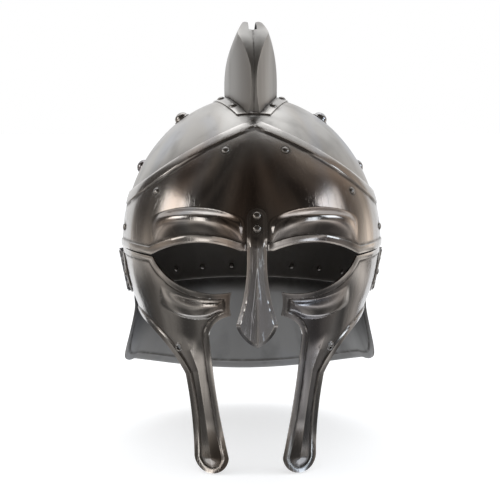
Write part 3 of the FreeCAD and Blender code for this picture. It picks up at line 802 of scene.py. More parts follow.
def make_brow_plate():
    reach = math.acos(temple_setback / (length_scale * bowl_half_width))
    columns, rows = 300, 116
    lines = border_lines(brow_border)
    edge_at = edge_finder(
        straight((0, brow_root[1]), brow_root),
        brow_arch,
        straight((eye_corner_reach, -eye_corner_drop), (temple[0], 0)),
        diadem_line,
    )
    tab_edge_at = edge_finder(
        straight((nasal_tab_half, brow_root[1]), (nasal_tab_half, nasal_tab_rise - nasal_tab_half)),
        bowed((nasal_tab_half, nasal_tab_rise - nasal_tab_half), (0.0, nasal_tab_rise), -2.5),
    )
    levels = []
    for i in range(columns + 1):
        turn = abs((i / columns * 2 - 1) * reach)
        low, high = brow_low(turn), brow_high(turn)
        beside = turn - small_turn if turn > 0.5 else turn + small_turn
        across = abs(form_radius(low) * (math.sin(beside) - math.sin(turn)))
        near = [d * math.hypot(1, (brow_low(beside) - low) / across) for d in lines]
        high_beside = brow_high(beside)
        drawn = form_radius(high_beside) * math.sin(beside) - form_radius(high) * math.sin(turn)
        far = [d * math.hypot(1, min(3.0, abs((high_beside - high) / drawn))) for d in lines]
        levels.append([mix(low, high, share) for share in laid_out(high - low, near, far, rows)])

    def place(i, j):
        turn = (i / columns * 2 - 1) * reach
        height = levels[i][j]
        x = abs(form_radius(height) * math.sin(turn))
        edge = edge_at(x, height)
        seat = nasal_tab_half + nasal_seat_gap
        off_seat = smooth(seat, nasal_tab_half + nasal_seat_fade, x)
        if height > nasal_tab_rise + nasal_seat_gap:
            off_seat = 1.0
        swell = brow_swell(x, height) * smooth(seat, nasal_tab_half + brow_inner_fade, x)
        wear, grime_shade = border_marks(edge, brow_border)
        rubbed = smooth(brow_swell_rise - 1.5, brow_swell_rise, swell)
        wear = max(wear * off_seat, 0.35 * rubbed)
        # painted shade with grime round the nasal tab's edge, under the nasal bar
        grime_shade = max(grime_shade, 0.8 * math.exp(-tab_edge_at(x, height) / 0.9))
        stand = brow_stand + border_rise(edge, brow_border) * off_seat + swell
        return on_form(turn, height, stand), wear, grime_shade

    piece = sheet("brow_plate_shell", columns, rows, place)
    return thicken(piece, plate_sheet, polished_steel, inner_steel)


# Nasal bar
nasal_tip_half = 17.0
nasal_tip_depth = 56.0
nasal_length = 73.0
nasal_keel = 7.0
nasal_lean = 9.0
nasal_root_height = 16.0
nasal_front_gap = 3.0
nasal_bevel = 2.6
nasal_bevel_step = 0.25
nasal_bevel_drop = 1.5
nasal_bend_low = 6.0
nasal_bend_high = 15.5
nasal_shoulder = nasal_tab_rise - nasal_tab_half
nasal_edge = chain(
    (18, bowed((0.0, -nasal_length), (nasal_tip_half, -nasal_tip_depth), -3.0)),
    (56, bowed((nasal_tip_half, -nasal_tip_depth), (nasal_tab_half, 0.0), 2.5)),
    (30, straight((nasal_tab_half, 0.0), (nasal_tab_half, nasal_shoulder))),
    (12, bowed((nasal_tab_half, nasal_shoulder), (0.0, nasal_tab_rise), -2.5)),
)


def make_nasal_bar():
    """Rows run from the keel to the edge, square to it round the tip."""
    start = on_form(0.0, nasal_root_height, brow_stand + lap_gap).y
    half_columns, rows = 18, 190
    edge_at = edge_finder(nasal_edge)

    def place(i, j):
        side = i - half_columns
        edge_point = nasal_edge(j / rows)
        pull = 1 - smooth(-nasal_tip_depth, -nasal_tip_depth + 30, edge_point.y)
        pull -= smooth(nasal_shoulder - 2, nasal_tab_rise, edge_point.y) * 0.9
        centre = Vector((0.0, edge_point.y + edge_point.x * pull))
        length = max((edge_point - centre).length, 0.01)
        brinks = (nasal_bevel - nasal_bevel_step, nasal_bevel + nasal_bevel_step)
        lines = (0.0, nasal_bevel * 0.45, *brinks)
        shares = laid_out(length, lines, (0.0,), half_columns)
        spot = edge_point.lerp(centre, shares[half_columns - abs(side)])
        x, height = math.copysign(spot.x, side), spot.y
        edge = edge_at(abs(x), height)
        lean = nasal_lean * (nasal_root_height - height) / (nasal_length + nasal_root_height + 3)
        keel = nasal_keel * (1 - abs(x) / (nasal_tip_half + nasal_sheet))
        bevel = nasal_bevel_drop * max(0.0, 1 - edge / nasal_bevel)
        bar = start + nasal_front_gap - lean - keel + bevel
        share = smooth(nasal_bend_low, nasal_bend_high, height)
        tab = on_form(*at_front(x, max(height, 0.0)), nasal_stand).y
        ridge = math.exp(-abs(x) / 0.8) * (1 - share)
        brink = bell(edge - nasal_bevel, 0.5)
        wear = 0.9 * max(brink, ridge, math.exp(-edge / 0.7))
        return Vector((x, mix(bar, tab, share), height)), wear, 0.0

    piece = sheet("nasal_bar_blade", half_columns * 2, rows, place)
    return thicken(piece, nasal_sheet, polished_steel, inner_steel, edge=0.25, angle=12)


# Cheek guards
cheek_border = 4.5
cheek_top_gap = 2.0
cheek_rear_radius = 18.0
jaw_corner_depth = 62.0
lobe_depth = 172.0
eye_corner = (eye_corner_reach, -cheek_top_gap - eye_corner_drop)
lid_end = (58.0, -28.0)
nose_top = (20.0, -30.0)
nose_low = (20.0, -50.0)
mouth_corner = (38.0, -68.0)
lobe_inner = (22.0, -lobe_depth)
lobe_outer = (50.0, -lobe_depth)
jaw_point = (57.0, -104.0)
jaw_corner = (98.0, -jaw_corner_depth)
thong_hole = (63.0, -82.0)
thong_hole_radius = 2.5
eyelet_radius = 0.8
eyelet_rise = 0.35
inner_edges = (
    (30, bowed(eye_corner, lid_end, 3.4)),
    (34, bowed(lid_end, nose_top, 2.8)),
    (18, bowed(nose_top, nose_low, 1.2)),
    (26, bowed(nose_low, mouth_corner, 4.0)),
    (100, bowed(mouth_corner, lobe_inner, 2.0)),
)
jaw_edges = ((62, bowed(jaw_corner, jaw_point, -4.0)), (68, bowed(jaw_point, lobe_outer, -1.5)))
lobe_sag = 13.0
lobe_keel = 2.2
lobe_keel_start = -66.0
lobe_keel_full = -90.0
lobe_keel_width = 40.0
lobe_keel_end = 8.0
lobe_tip = bowed(lobe_inner, lobe_outer, -lobe_sag)
tip_foot = -lobe_depth - lobe_sag + cheek_border
cheek_inner = chain(*inner_edges)
jaw_line = chain(*jaw_edges)
rear_part = 0.34
jaw_start = 0.01
bone_middle = 50.0
bone_reach = 28.0
bone_depth = 49.0
bone_bow = 9.0
bone_slope_above = 12.0
bone_slope_below = 6.5
bone_rise = 4.0
bone_fade = 5.0


def rear_edge(share):
    """Down the guard's rear edge and round its lower corner."""
    low_start = jaw_corner_depth - cheek_rear_radius
    straight_part = low_start - cheek_top_gap
    left = share * (straight_part + cheek_rear_radius * math.pi / 2)
    if left <= straight_part:
        return at_side(-hinge_gap, -cheek_top_gap - left)
    turn = (left - straight_part) / cheek_rear_radius
    y = -hinge_gap - cheek_rear_radius * (1 - math.cos(turn))
    return at_side(y, -low_start - cheek_rear_radius * math.sin(turn))


def cheek_outer(share):
    if share < rear_part:
        return rear_edge(share / rear_part)
    return at_front(*jaw_line(mix(jaw_start, 1, (share - rear_part) / (1 - rear_part))))


def cheekbone(x, height):
    """Ridge under the eye, steep below and long above."""
    along = (x - bone_middle) / bone_reach
    if abs(along) >= 1:
        return 0.0
    off = height + bone_depth - bone_bow * along * along
    across = abs(off) / (bone_slope_above if off > 0 else bone_slope_below)
    if across >= 1:
        return 0.0
    return bone_rise * (1 - along * along) ** 0.7 * (1 - across * across) ** 1.3


def make_cheek_guard():
    """Rows run from the eye, nose and mouth edge to the rear and jaw edge."""
    columns, rows = 76, 380
    tip_rows, corner_rows, blur_rows = 46, 18, 10
    body_rows = rows - tip_rows
    tip_close = 0.993
    edge_at = edge_finder(
        straight((temple[0], -cheek_top_gap), eye_corner),
        *[curve for part, curve in inner_edges],
        lobe_tip,
        *[curve for part, curve in jaw_edges],
        straight(jaw_corner, (temple[0], -jaw_corner_depth)),
    )

    def ends(j):
        if j <= body_rows:
            share = j / body_rows * mix(0.55, 1.0, min(1.0, j / corner_rows))
            return at_front(*cheek_inner(share)), cheek_outer(share)
        half = 0.5 - 0.5 * math.sqrt(1 - tip_close * (j - body_rows) / tip_rows)
        return at_front(*lobe_tip(half)), at_front(*lobe_tip(1 - half))

    lines = border_lines(cheek_border)
    spots = [[on_form(*end) for end in ends(j)] for j in range(rows + 1)]
    slants = []
    for j in range(rows + 1):
        before, after = spots[max(0, j - 1)], spots[min(rows, j + 1)]
        way = spots[j][1] - spots[j][0]
        pair = []
        for k in (0, 1):
            tangent = after[k] - before[k]
            sine = way.cross(tangent).length / max(way.length * tangent.length, 1e-6)
            pair.append(1 / max(0.5, sine))
        slants.append(pair)
    rows_laid = []
    for j in range(rows + 1):
        nearby = slants[max(0, j - blur_rows) : j + blur_rows + 1]
        length = max((spots[j][1] - spots[j][0]).length, 0.05)
        near, far = (
            [d * sum(pair[k] for pair in nearby) / len(nearby) for d in lines] for k in (0, 1)
        )
        rows_laid.append((*ends(j), length, laid_out(length, near, far, columns)))

    def place(i, j):
        a, b, length, shares = rows_laid[j]
        turn, height = mix(a[0], b[0], shares[i]), mix(a[1], b[1], shares[i])
        x = form_radius(height) * math.sin(turn)
        edge = edge_at(x, height)
        inwards = (i - len(lines)) / (columns - 2 * len(lines))
        below_bone = smooth(lobe_keel_start, lobe_keel_full, height)
        keel = max(0.0, 1 - abs(2 * inwards - 1)) * below_bone
        keel *= min(1.0, length / lobe_keel_width)
        keel *= smooth(tip_foot, tip_foot + lobe_keel_end, height)
        bone = cheekbone(x, height) * smooth(cheek_border, cheek_border + bone_fade, edge)
        wear, grime_shade = border_marks(edge, cheek_border)
        middle = abs(shares[i] - shares[columns // 2]) * length
        ridge = 0.6 * math.exp(-middle / 0.6) * smooth(-70, -90, height)
        wear = max(wear, ridge, 0.5 * smooth(bone_rise - 1.2, bone_rise - 0.2, bone))
        stand = cheek_stand + border_rise(edge, cheek_border) + lobe_keel * keel + bone
        return on_form(turn, height, stand), wear, grime_shade

    piece = sheet("cheek_guard_shell_left", columns, rows, place)
    thicken(piece, cheek_stand, polished_steel, inner_steel, angle=14, inside=(0, 0, -60))
    radius = thong_hole_radius * mm
    punch = fresh(add_rod, "thong_punch", vertices=40, radius=radius, depth=20 * mm)
    stand_out(punch, *at_front(*thong_hole))
    modify(piece, "BOOLEAN", operation="DIFFERENCE", solver="EXACT", object=punch)
    bpy.data.objects.remove(punch, do_unlink=True)
    radii = {"major_radius": radius + eyelet_radius * mm, "minor_radius": eyelet_radius * mm}
    eyelet = fresh(add_ring, "eyelet", major_segments=40, minor_segments=12, **radii)
    stand_out(eyelet, *at_front(*thong_hole), cheek_stand + eyelet_rise)
    eyelet.data.materials.append(polished_steel)
    soften(eyelet, 80)
    return joined("cheek_guard_shell_left", [piece, eyelet])


# Neck guard
neck_lap = 22.0
neck_bend_radius = 30.0
neck_bend_angle = math.radians(10.0)
neck_flare_radius = 230.0
neck_front_gap = 6.0
neck_step_reach = 27.5
neck_step_depth = 46.5
neck_front_low = (6.0, -72.0)
neck_side_low = (60.0, -121.0)
neck_back_low = (189.0, -164.0)
neck_highest_edge = -60.0
neck_lowest_edge = -170.0
neck_crease_depth = 52.0
neck_crease_spread = 4.0
neck_corner = bowed(neck_front_low, neck_side_low, -15.0)
neck_sweep = bowed(neck_side_low, neck_back_low, 3.0)
neck_bend_centre = (
    skirt_end_radius + neck_bend_radius * math.cos(tuck_angle),
    -skirt_depth - neck_bend_radius * math.sin(tuck_angle),
)
neck_flare_centre = (
    neck_bend_centre[0] + (neck_flare_radius - neck_bend_radius) * math.cos(neck_bend_angle),
    neck_bend_centre[1] + (neck_flare_radius - neck_bend_radius) * math.sin(neck_bend_angle),
)


def on_neck(turn, height, stand):
    """Point on the neck guard: a lap on the skirt, a bend outwards, then the flare."""
    if height >= -skirt_depth:
        return on_form(turn, height, stand)
    centre, radius = neck_flare_centre, neck_flare_radius
    if height >= neck_bend_centre[1] - neck_bend_radius * math.sin(neck_bend_angle):
        centre, radius = neck_bend_centre, neck_bend_radius
    slope = math.asin((height - centre[1]) / radius)
    out = centre[0] - (radius - stand) * math.cos(slope)
    up = centre[1] + (radius - stand) * math.sin(slope)
    return Vector((out * math.sin(turn), -length_scale * out * math.cos(turn), up))


def neck_bottom(turn):
    """Lowest height of the guard at a turn from straight ahead."""

    def below(height):
        y = on_neck(turn, height, 0).y
        if y < neck_front_low[0]:
            return height <= neck_front_low[1]
        return height <= height_on(neck_corner if y < neck_side_low[0] else neck_sweep, y)

    return crossing(neck_lowest_edge, neck_highest_edge, below)


def make_neck_guard():
    rim_radius = on_neck(math.pi / 2, -66.0, 0).x
    reach = math.pi - math.acos(-neck_front_gap / (length_scale * rim_radius))
    step = math.pi - math.acos(-neck_step_reach / (length_scale * form_radius(-neck_step_depth)))
    columns, rows = 300, 84
    lines = border_lines(brow_border)
    front_edge = straight((neck_front_gap, -neck_step_depth), neck_front_low)
    edge_at = edge_finder(neck_corner, neck_sweep, front_edge)
    levels, turns = [], []
    for i in range(columns + 1):
        off = i / columns * 2 - 1
        off = math.copysign(abs(off) ** 0.92, off) * reach
        if abs(abs(off) - step) < reach / columns:
            off = math.copysign(beside_step(abs(off), step), off)
        low = neck_bottom(math.pi - abs(off))
        beside = neck_bottom(math.pi - max(0.0, abs(off) - small_turn))
        high = neck_lap - skirt_depth if abs(off) < step else -neck_step_depth
        near = [d * math.hypot(1, (low - beside) / 1.2) for d in lines]
        levels.append([mix(low, high, share) for share in laid_out(high - low, near, (0.0,), rows)])
        turns.append(math.pi - off)

    def place(i, j):
        turn, height = turns[i], levels[i][j]
        edge = edge_at(on_neck(turn, height, 0.0).y, height)
        hem, wear, grime_shade = 0.0, 0.0, 0.0
        if height < -skirt_depth - 4:
            hem = border_rise(edge, brow_border, 0.7)
            wear, grime_shade = border_marks(edge, brow_border)
        # painted shade with grime in the crease of the bend
        grime_shade = max(grime_shade, 0.5 * bell(height + neck_crease_depth, neck_crease_spread))
        return on_neck(turn, height, neck_stand + hem), wear, grime_shade

    piece = sheet("neck_guard_shell", columns, rows, place)
    return thicken(piece, plate_sheet, dull_steel, dull_steel)


# Crest comb and its saddle
crest_foot_height = 108.0
crest_stand = 86.0
crest_half_width = 20.0
crest_top_half = 8.0
crest_keel_half = 2.2
crest_sheet = 1.3
crest_slot_half = 3.5
crest_slot_front = 40.0
crest_slot_back = 84.0
crest_line_along = (0.0, -0.04, -0.03, 0.09, 0.3, 0.58, 0.82, 0.95, 1.0)
crest_line_up = (0.0, 0.26, 0.56, 0.85, 1.0, 0.87, 0.47, -0.05, -0.58)
crest_side = bowed(
    (crest_half_width, crest_foot_height), (crest_top_half, crest_foot_height + crest_stand), -9.0
)
crest_side_points = [crest_side(i / 60) for i in range(61)]
crest_foot_view = 120.0
crest_clearance = 1.2
crest_seam_half = 0.05
crest_top_crown = 0.5
crest_blend = 3.0
crest_blend_drop = 0.75


def crest_side_half(height):
    for a, b in zip(crest_side_points, crest_side_points[1:]):
        if b.y >= height:
            return mix(a.x, b.x, max(0.0, (height - a.y) / (b.y - a.y)))
    return crest_top_half


def crest_line(share):
    """Point on the comb's side line, from its front foot over to its back."""
    length = crest_front + crest_back
    points = [
        Vector((along * length - crest_front, crest_foot_height + up * crest_stand))
        for along, up in zip(crest_line_along, crest_line_up)
    ]
    marks = [0.0]
    for a, b in zip(points, points[1:]):
        marks.append(marks[-1] + (b - a).length ** 0.75)
    where = share * marks[-1]
    i = 0
    while i < len(points) - 2 and where > marks[i + 1]:
        i += 1

    def tangent(j):
        low, high = max(j - 1, 0), min(j + 1, len(points) - 1)
        return (points[high] - points[low]) / (marks[high] - marks[low])

    span = marks[i + 1] - marks[i]
    t = (where - marks[i]) / span
    return (
        points[i] * (2 * t**3 - 3 * t**2 + 1)
        + tangent(i) * span * (t**3 - 2 * t**2 + t)
        + points[i + 1] * (3 * t**2 - 2 * t**3)
        + tangent(i + 1) * span * (t**3 - t**2)
    )


crest_prow = min(crest_line(i / 200).x for i in range(201))


def boat_half(y, front, back, end_half, full_half):
    """Half width of a boat-shaped plan at y."""
    half_length = (back - front) / 2
    swell = full_half - end_half
    radius = (half_length**2 + swell**2) / (2 * swell)
    off = max(-half_length, min(half_length, y - (front + back) / 2))
    return end_half + math.sqrt(radius**2 - off**2) - (radius - swell)


def crest_half_at(y, height):
    """Half width of the comb at a place in its side view, softened where its two forms meet."""
    plan = boat_half(y, crest_prow, crest_back, crest_keel_half, crest_swell_half)
    wedge = crest_side_half(height)
    gap = min(1.0, abs(plan - wedge) / crest_blend)
    return min(plan, wedge) - crest_blend_drop * (1 - gap) ** 2


def crest_foot_at(y):
    """Height of the comb's foot, which follows the saddle."""
    stand = saddle_stand + lap_gap
    x = crest_half_at(y, crest_foot_view)
    radius = bowl_half_width + stand
    out = math.hypot(x / radius, y / (length_scale * radius))
    return (bowl_height + stand) * math.sqrt(max(0.0, 1 - out * out))


def make_crest_half():
    """Side of the comb from its foot up, then over onto the top as far as the slot."""
    columns, side_rows, over_rows = 200, 60, 14
    tops = [(u / 2000, crest_line(u / 2000)) for u in range(2001)]
    clear_of_foot = [
        (u, top) for u, top in tops if top.y > crest_foot_at(top.x) + crest_clearance
    ]
    toe, heel = clear_of_foot[0], clear_of_foot[-1]

    def place(i, j):
        top = crest_line(mix(toe[0], heel[0], i / columns))
        share = min(1.0, j / side_rows)
        y = mix(mix(toe[1].x + 0.6, heel[1].x - 0.4, i / columns), top.x, share)
        low = crest_foot_at(y)
        height = mix(low, max(top.y, low + 0.2), share)
        full = half = crest_half_at(y, height)
        brink = top.y - height
        if j > side_rows:
            at_slot = -crest_slot_front < top.x < crest_slot_back
            inner = crest_slot_half if at_slot else crest_seam_half
            over = (j - side_rows) / over_rows
            half = mix(full, min(inner, full), over)
            height += crest_top_crown * math.sin(math.pi * over)
            brink = full - half
        # painted shade with grime at the comb's foot and along the seam on top
        grime_shade = 0.9 * math.exp(-(height - low) / 1.6)
        if j > side_rows:
            grime_shade = 0.8 * math.exp(-half / 0.4)
        return Vector((half, y, height)), 0.7 * math.exp(-abs(brink) / 1.2), grime_shade

    piece = sheet("crest_sheet_left", columns, side_rows + over_rows, place)
    return thicken(
        piece, crest_sheet, crest_steel, inner_steel, edge=0.25, angle=30, inside=(0, 20, 150)
    )


def make_saddle():
    columns, rows = 30, 150

    def place(i, j):
        y = mix(saddle_front, crest_back, j / rows)
        half = boat_half(y, saddle_front, crest_back, saddle_end_half, saddle_full_half)
        x = (i / columns * 2 - 1) * half
        edge = min(half - abs(x), y - saddle_front, crest_back - y)
        # painted shade with grime along the comb's foot
        grime_shade = 0.9 * math.exp(-(abs(abs(x) - crest_half_at(y, crest_foot_view)) / 1.4))
        return on_form(*at_top(x, y), saddle_stand), math.exp(-edge / 0.9), grime_shade

    piece = sheet("crest_saddle_strip", columns, rows, place)
    return thicken(piece, strip_sheet, polished_steel, inner_steel)


# Hinges
hinge_top = 8.0
hinge_length = 36.0
knuckle_radius = 3.2
knuckle_count = 5
knuckle_gap = 0.25
leaf_reach = 25.0
leaf_shoulder = 15.0
leaf_waist = 7.0
pin_radius = 1.6
pin_gap = 0.05
leaf_edge_at_own = 2.2
leaf_edge_at_other = 3.8
pin_head_radius = 2.7
hinge_high = Vector((116.3603, 0.0, -8.0))
hinge_low = Vector((109.1466, 0.0, -44.0))
hinge_up = (hinge_high - hinge_low).normalized()
hinge_span = (hinge_high - hinge_low).length
knuckle_pitch = hinge_span / knuckle_count


def on_hinge(piece, start, end):
    """Sets a piece that stands along +Z between two places on the hinge axis."""
    turned = Vector((0, 0, 1)).rotation_difference(hinge_up)
    move(piece, turned, (hinge_low + hinge_up * ((start + end) / 2)) * mm)


def make_knuckle(start, end):
    """Short tube round the pin, with its rims eased."""
    values = {"radius": knuckle_radius * mm, "depth": (end - start) * mm}
    piece = fresh(add_rod, "knuckle", vertices=32, end_fill_type="NOTHING", **values)
    on_hinge(piece, start, end)
    piece.data.materials.append(hinge_steel)
    wall = knuckle_radius - pin_radius - pin_gap
    modify(piece, "SOLIDIFY", thickness=wall * mm, offset=-1.0)
    ease(piece, 0.3)
    soften(piece)
    return piece


def make_leaf(name, side, own):
    """Leaf on one side of the hinge axis (+1 behind, -1 in front), with its own knuckles."""
    columns, rows = 26, 60
    high = -hinge_top - knuckle_gap
    low = -hinge_top - hinge_length + knuckle_gap

    def place(i, j):
        z = mix(low, high, j / rows)
        into = min(z - low, high - z)
        far = leaf_reach if into > leaf_waist else mix(leaf_shoulder, leaf_reach, into / leaf_waist)
        slot = int((z + hinge_top + hinge_length) / hinge_length * knuckle_count)
        near = leaf_edge_at_own if slot in own else leaf_edge_at_other
        y = mix(near, far, i / columns)
        wear = math.exp(-min(into, far - y) / 0.8)
        # painted shade with grime next to the knuckles
        return on_form(*at_side(side * y, z), leaf_stand), wear, 0.4 * math.exp(-(y - near) / 2)

    piece = sheet(name, columns, rows, place)
    parts = [thicken(piece, strip_sheet, hinge_steel, hinge_steel)]
    for i in own:
        start = i * knuckle_pitch + knuckle_gap / 2
        parts.append(make_knuckle(start, start + knuckle_pitch - knuckle_gap))
    return joined(name, parts)


def make_pin(name):
    """Rod with a domed head above and a peened end below."""
    parts = []
    top = hinge_span + knuckle_gap
    for start, end, radius, edge in (
        (top, top + 1.4, pin_head_radius, 0.9),
        (-knuckle_gap - 0.9, -knuckle_gap, pin_head_radius, 0.5),
        (-knuckle_gap - 0.1, top + 0.1, pin_radius, 0.0),
    ):
        values = {"radius": radius * mm, "depth": (end - start) * mm}
        piece = fresh(add_rod, name, vertices=32, **values)
        on_hinge(piece, start, end)
        piece.data.materials.append(rivet_steel)
        if edge:
            ease(piece, edge, 4)
        soften(piece, 50)
        parts.append(piece)
    return joined(name, parts)


# Rivets and studs
dome_cut = 0.12


def make_dome(name, radius, rise, segments, rings):
    """Domed head standing on +Z, from a ball cut across near its middle."""
    piece = fresh(add_ball, name, segments=segments, ring_count=rings, radius=1)
    piece.data.materials.append(rivet_steel)
    edit_all(piece)
    plane = {"plane_co": (0, 0, dome_cut), "plane_no": (0, 0, 1)}
    bpy.ops.mesh.bisect(clear_inner=True, use_fill=True, **plane)
    bpy.ops.mesh.select_all(action="SELECT")
    bpy.ops.transform.translate(value=(0, 0, -dome_cut))
    size = (radius * mm, radius * mm, rise / (1 - dome_cut) * mm)
    bpy.ops.transform.resize(value=size, center_override=(0, 0, 0))
    set_mode("OBJECT")
    soften(piece, 50)
    return piece


rivet_seat = 0.1
stud_seat = 0.15
stud_foot = 0.8
stud_radii = (6.7, 6.35, 6.2, 5.75, 4.9, 3.7, 2.2, 0.9)
stud_heights = (0.8, 1.1, 2.0, 3.1, 4.15, 5.0, 5.65, 5.95)


def make_stud(name):
    """Crown stud: a dome drawn up out of a narrow flange."""
    values = {"radius": stud_radius * mm, "depth": stud_foot * mm}
    piece = fresh(add_rod, name, vertices=40, location=(0, 0, stud_foot / 2 * mm), **values)
    piece.data.materials.append(polished_steel)
    settle(piece)
    pick(piece, lambda normal: normal.z > 0.9)
    radius, height = stud_radius, stud_foot
    for next_radius, next_height in zip(stud_radii, stud_heights):
        rise = {"value": (0, 0, (next_height - height) * mm)}
        bpy.ops.mesh.extrude_region_move(TRANSFORM_OT_translate=rise)
        share = next_radius / radius
        bpy.ops.transform.resize(value=(share, share, 1), center_override=(0, 0, 0))
        radius, height = next_radius, next_height
    merge(piece)
    ease(piece, 0.2, angle=1.0)
    soften(piece, 40)
    return piece


def spots_at(places, stand, side=1):
    """Spots that stand off the form, facing out of it or, with side -1, into it."""
    return [(on_form(*place, stand), outward(*place) * side) for place in places]


def rivet_set(name, places, outer, inner, head):
    """Heads outside and tails inside, each sunk a little into its sheet."""
    heads = copies(name + "_heads", head, spots_at(places, outer - rivet_seat))
    tails = copies(name + "_tails", rivet_tail, spots_at(places, inner + rivet_seat, -1))
    return joined(name + "_set", [heads, tails])


# Leather liner
liner_low = 24.0
liner_high = 50.0
strap_half = 13.0
strap_stand = liner_inner - lap_gap
crown_drop = 16.0
band_part = 0.11
band_sway = 1.6
band_waves = 2.6
strap_cup = 0.5
stitch_inset = 3.0
band_stitch_sink = 0.15
strap_stitch_sink = 0.5
stitch_pitch = 5.0
stitch_half = Vector((1.9, 0.45, 0.35))


def strap_point(share, across, drop, lengthwise, stand):
    """Point on a crown strap: up the band, over the crown and down again."""
    from_end = min(share, 1 - share)
    side = 1 if share < 0.5 else -1
    if from_end < band_part:
        height = mix(liner_low, liner_high, from_end / band_part)
        radius = side_line(height, stand)[0]
        if lengthwise:
            return Vector((across, side * length_scale * math.sqrt(radius**2 - across**2), height))
        return Vector((side * math.sqrt(radius**2 - (across / length_scale) ** 2), across, height))
    rise = bowl_height - drop + stand - strap_stand
    width = side_line(liner_high, stand)[0] / math.sqrt(1 - (liner_high / rise) ** 2)
    beside = across if lengthwise else across / length_scale
    narrow = math.sqrt(1 - (beside / width) ** 2)
    start = math.asin(liner_high / (rise * narrow))
    turn = mix(start, math.pi - start, (share - band_part) / (1 - 2 * band_part))
    out, up = width * narrow * math.cos(turn), rise * narrow * math.sin(turn)
    return Vector((across, length_scale * out, up)) if lengthwise else Vector((out, across, up))


def stitch_model():
    piece = fresh(add_ball, "stitch", segments=8, ring_count=6, radius=1)
    piece.data.materials.append(liner_thread)
    for vertex in piece.data.vertices:
        vertex.co = vertex.co * stitch_half * mm
    soften(piece, 80)
    return piece


def sew(name, count, tracks):
    """Stitches along tracks, each of which gives a point and the way out for a share."""
    made = []
    for track in tracks:
        path = [track(k / count) for k in range(count + 1)]
        gone = 0.0
        for (a, way), (b, _) in zip(path, path[1:]):
            gone += (b - a).length
            if gone < stitch_pitch:
                continue
            gone -= stitch_pitch
            along = (b - a).normalized()
            side = way.cross(along).normalized()
            made.append(duplicate(stitch))
            move(made[-1], Matrix((along, side, way)).transposed(), a * mm)
    return joined(name, made)


def make_liner_band():
    columns, rows = 320, 14

    def sway(turn, height):
        wave = noise.noise(Vector((math.sin(turn), math.cos(turn), 0)) * band_waves)
        return min(0.0, band_sway * wave) * (liner_high - height) / (liner_high - liner_low)

    def place(i, j):
        turn = (i / columns * 2 - 1) * math.pi
        height = mix(liner_low, liner_high, j / rows)
        edge = min(height - liner_low, liner_high - height)
        spot = on_form(turn, height, liner_outer + sway(turn, height))
        return spot, math.exp(-edge), 0.0

    def track(height):
        def point(share):
            turn = math.tau * share
            spot = on_form(turn, height, liner_inner - band_stitch_sink + sway(turn, height))
            return spot, -outward(turn, height)

        return point

    piece = sheet("liner_band_leather", columns, rows, place)
    thicken(piece, leather, liner_leather, liner_leather, edge=0.7, segments=3, angle=60)
    tracks = (track(liner_low + stitch_inset), track(liner_high - stitch_inset))
    return piece, sew("liner_band_stitches", 720, tracks)


def make_strap(name, drop, lengthwise):
    columns, rows = 160, 12

    def place(i, j):
        across = (j / rows * 2 - 1) * strap_half
        cup = strap_cup * (across / strap_half) ** 2
        spot = strap_point(i / columns, across, drop, lengthwise, strap_stand - cup)
        return spot, math.exp(abs(across) - strap_half), 0.0

    def track(across):
        centre = Vector((across, 0, 0)) if lengthwise else Vector((0, across, 0))
        stand = strap_stand - leather - strap_stitch_sink

        def point(share):
            spot = strap_point(share, across, drop, lengthwise, stand)
            return spot, (centre - spot).normalized()

        return point

    piece = sheet(name, columns, rows, place)
    thicken(piece, leather, liner_leather, liner_leather, edge=0.7, segments=3, angle=60)
    tracks = (track(stitch_inset - strap_half), track(strap_half - stitch_inset))
    return piece, sew(name + "_stitches", 400, tracks)


# Assembly
def finish_pair(left, name, left_body, right_body, slot, node):
    """The left piece and its mirrored twin, each in place of its node."""
    right = mirrored(left, name + "_right")
    left.name = name + "_left"
    finish_piece(left, left_body, slot, node + "_left")
    finish_piece(right, right_body, slot, node + "_right")


on_bowl = ("helmet", "helmet")
on_guards = ("left_cheek", "right_cheek")
finish_piece(make_bowl(), "helmet", "polished_steel", "skull_bowl")
finish_piece(make_brow_plate(), "helmet", "polished_steel", "brow_plate")
finish_piece(make_nasal_bar(), "helmet", "polished_steel", "nasal_bar")
finish_piece(make_neck_guard(), "helmet", "dull_steel", "neck_guard")
finish_piece(make_saddle(), "helmet", "polished_steel", "crest_saddle")
finish_pair(make_cheek_guard(), "cheek_guard_shell", *on_guards, "polished_steel", "cheek_guard")
finish_pair(make_crest_half(), "crest_sheet", *on_bowl, "polished_steel", "crest_half")
bowl_leaf = make_leaf("bowl_leaf", 1, (0, 2, 4))
finish_pair(bowl_leaf, "bowl_leaf", *on_bowl, "hinge_steel", "bowl_hinge_leaf")
cheek_leaf = make_leaf("cheek_leaf", -1, (1, 3))
finish_pair(cheek_leaf, "cheek_leaf", *on_guards, "hinge_steel", "cheek_hinge_leaf")
finish_pair(make_pin("turned_pin"), "turned_pin", *on_bowl, "rivet_steel", "hinge_pin")

rivet_head = make_dome("rivet_head", rivet_radius, rivet_rise, 20, 14)
rivet_tail = make_dome("rivet_tail", tail_radius, tail_rise, 16, 10)
strap_head = make_dome("strap_head", tail_radius, 1.2, 16, 10)
for name, (places, outer, inner) in fastenings.items():
    group = rivet_set(name, places, outer, inner, rivet_head)
    if name.endswith("_left"):
        stem = name.replace("_left", "")
        bodies = on_guards if name.startswith("cheek") else on_bowl
        finish_pair(group, stem + "_set", *bodies, "rivet_steel", stem)
    else:
        finish_piece(group, "helmet", "rivet_steel", name)
strap_places = [at_back(angle, 34) for angle in (0, 90, 180, 270)]
strap_inner = strap_stand - leather
strap_group = rivet_set("strap_rivets", strap_places, liner_outer, strap_inner, strap_head)
finish_piece(strap_group, "helmet", "rivet_steel", "strap_rivets")
stud = make_stud("stud")
studs = copies("crown_stud_set", stud, spots_at(stud_places, bowl_stand - stud_seat))
finish_piece(studs, "helmet", "polished_steel", "crown_studs")

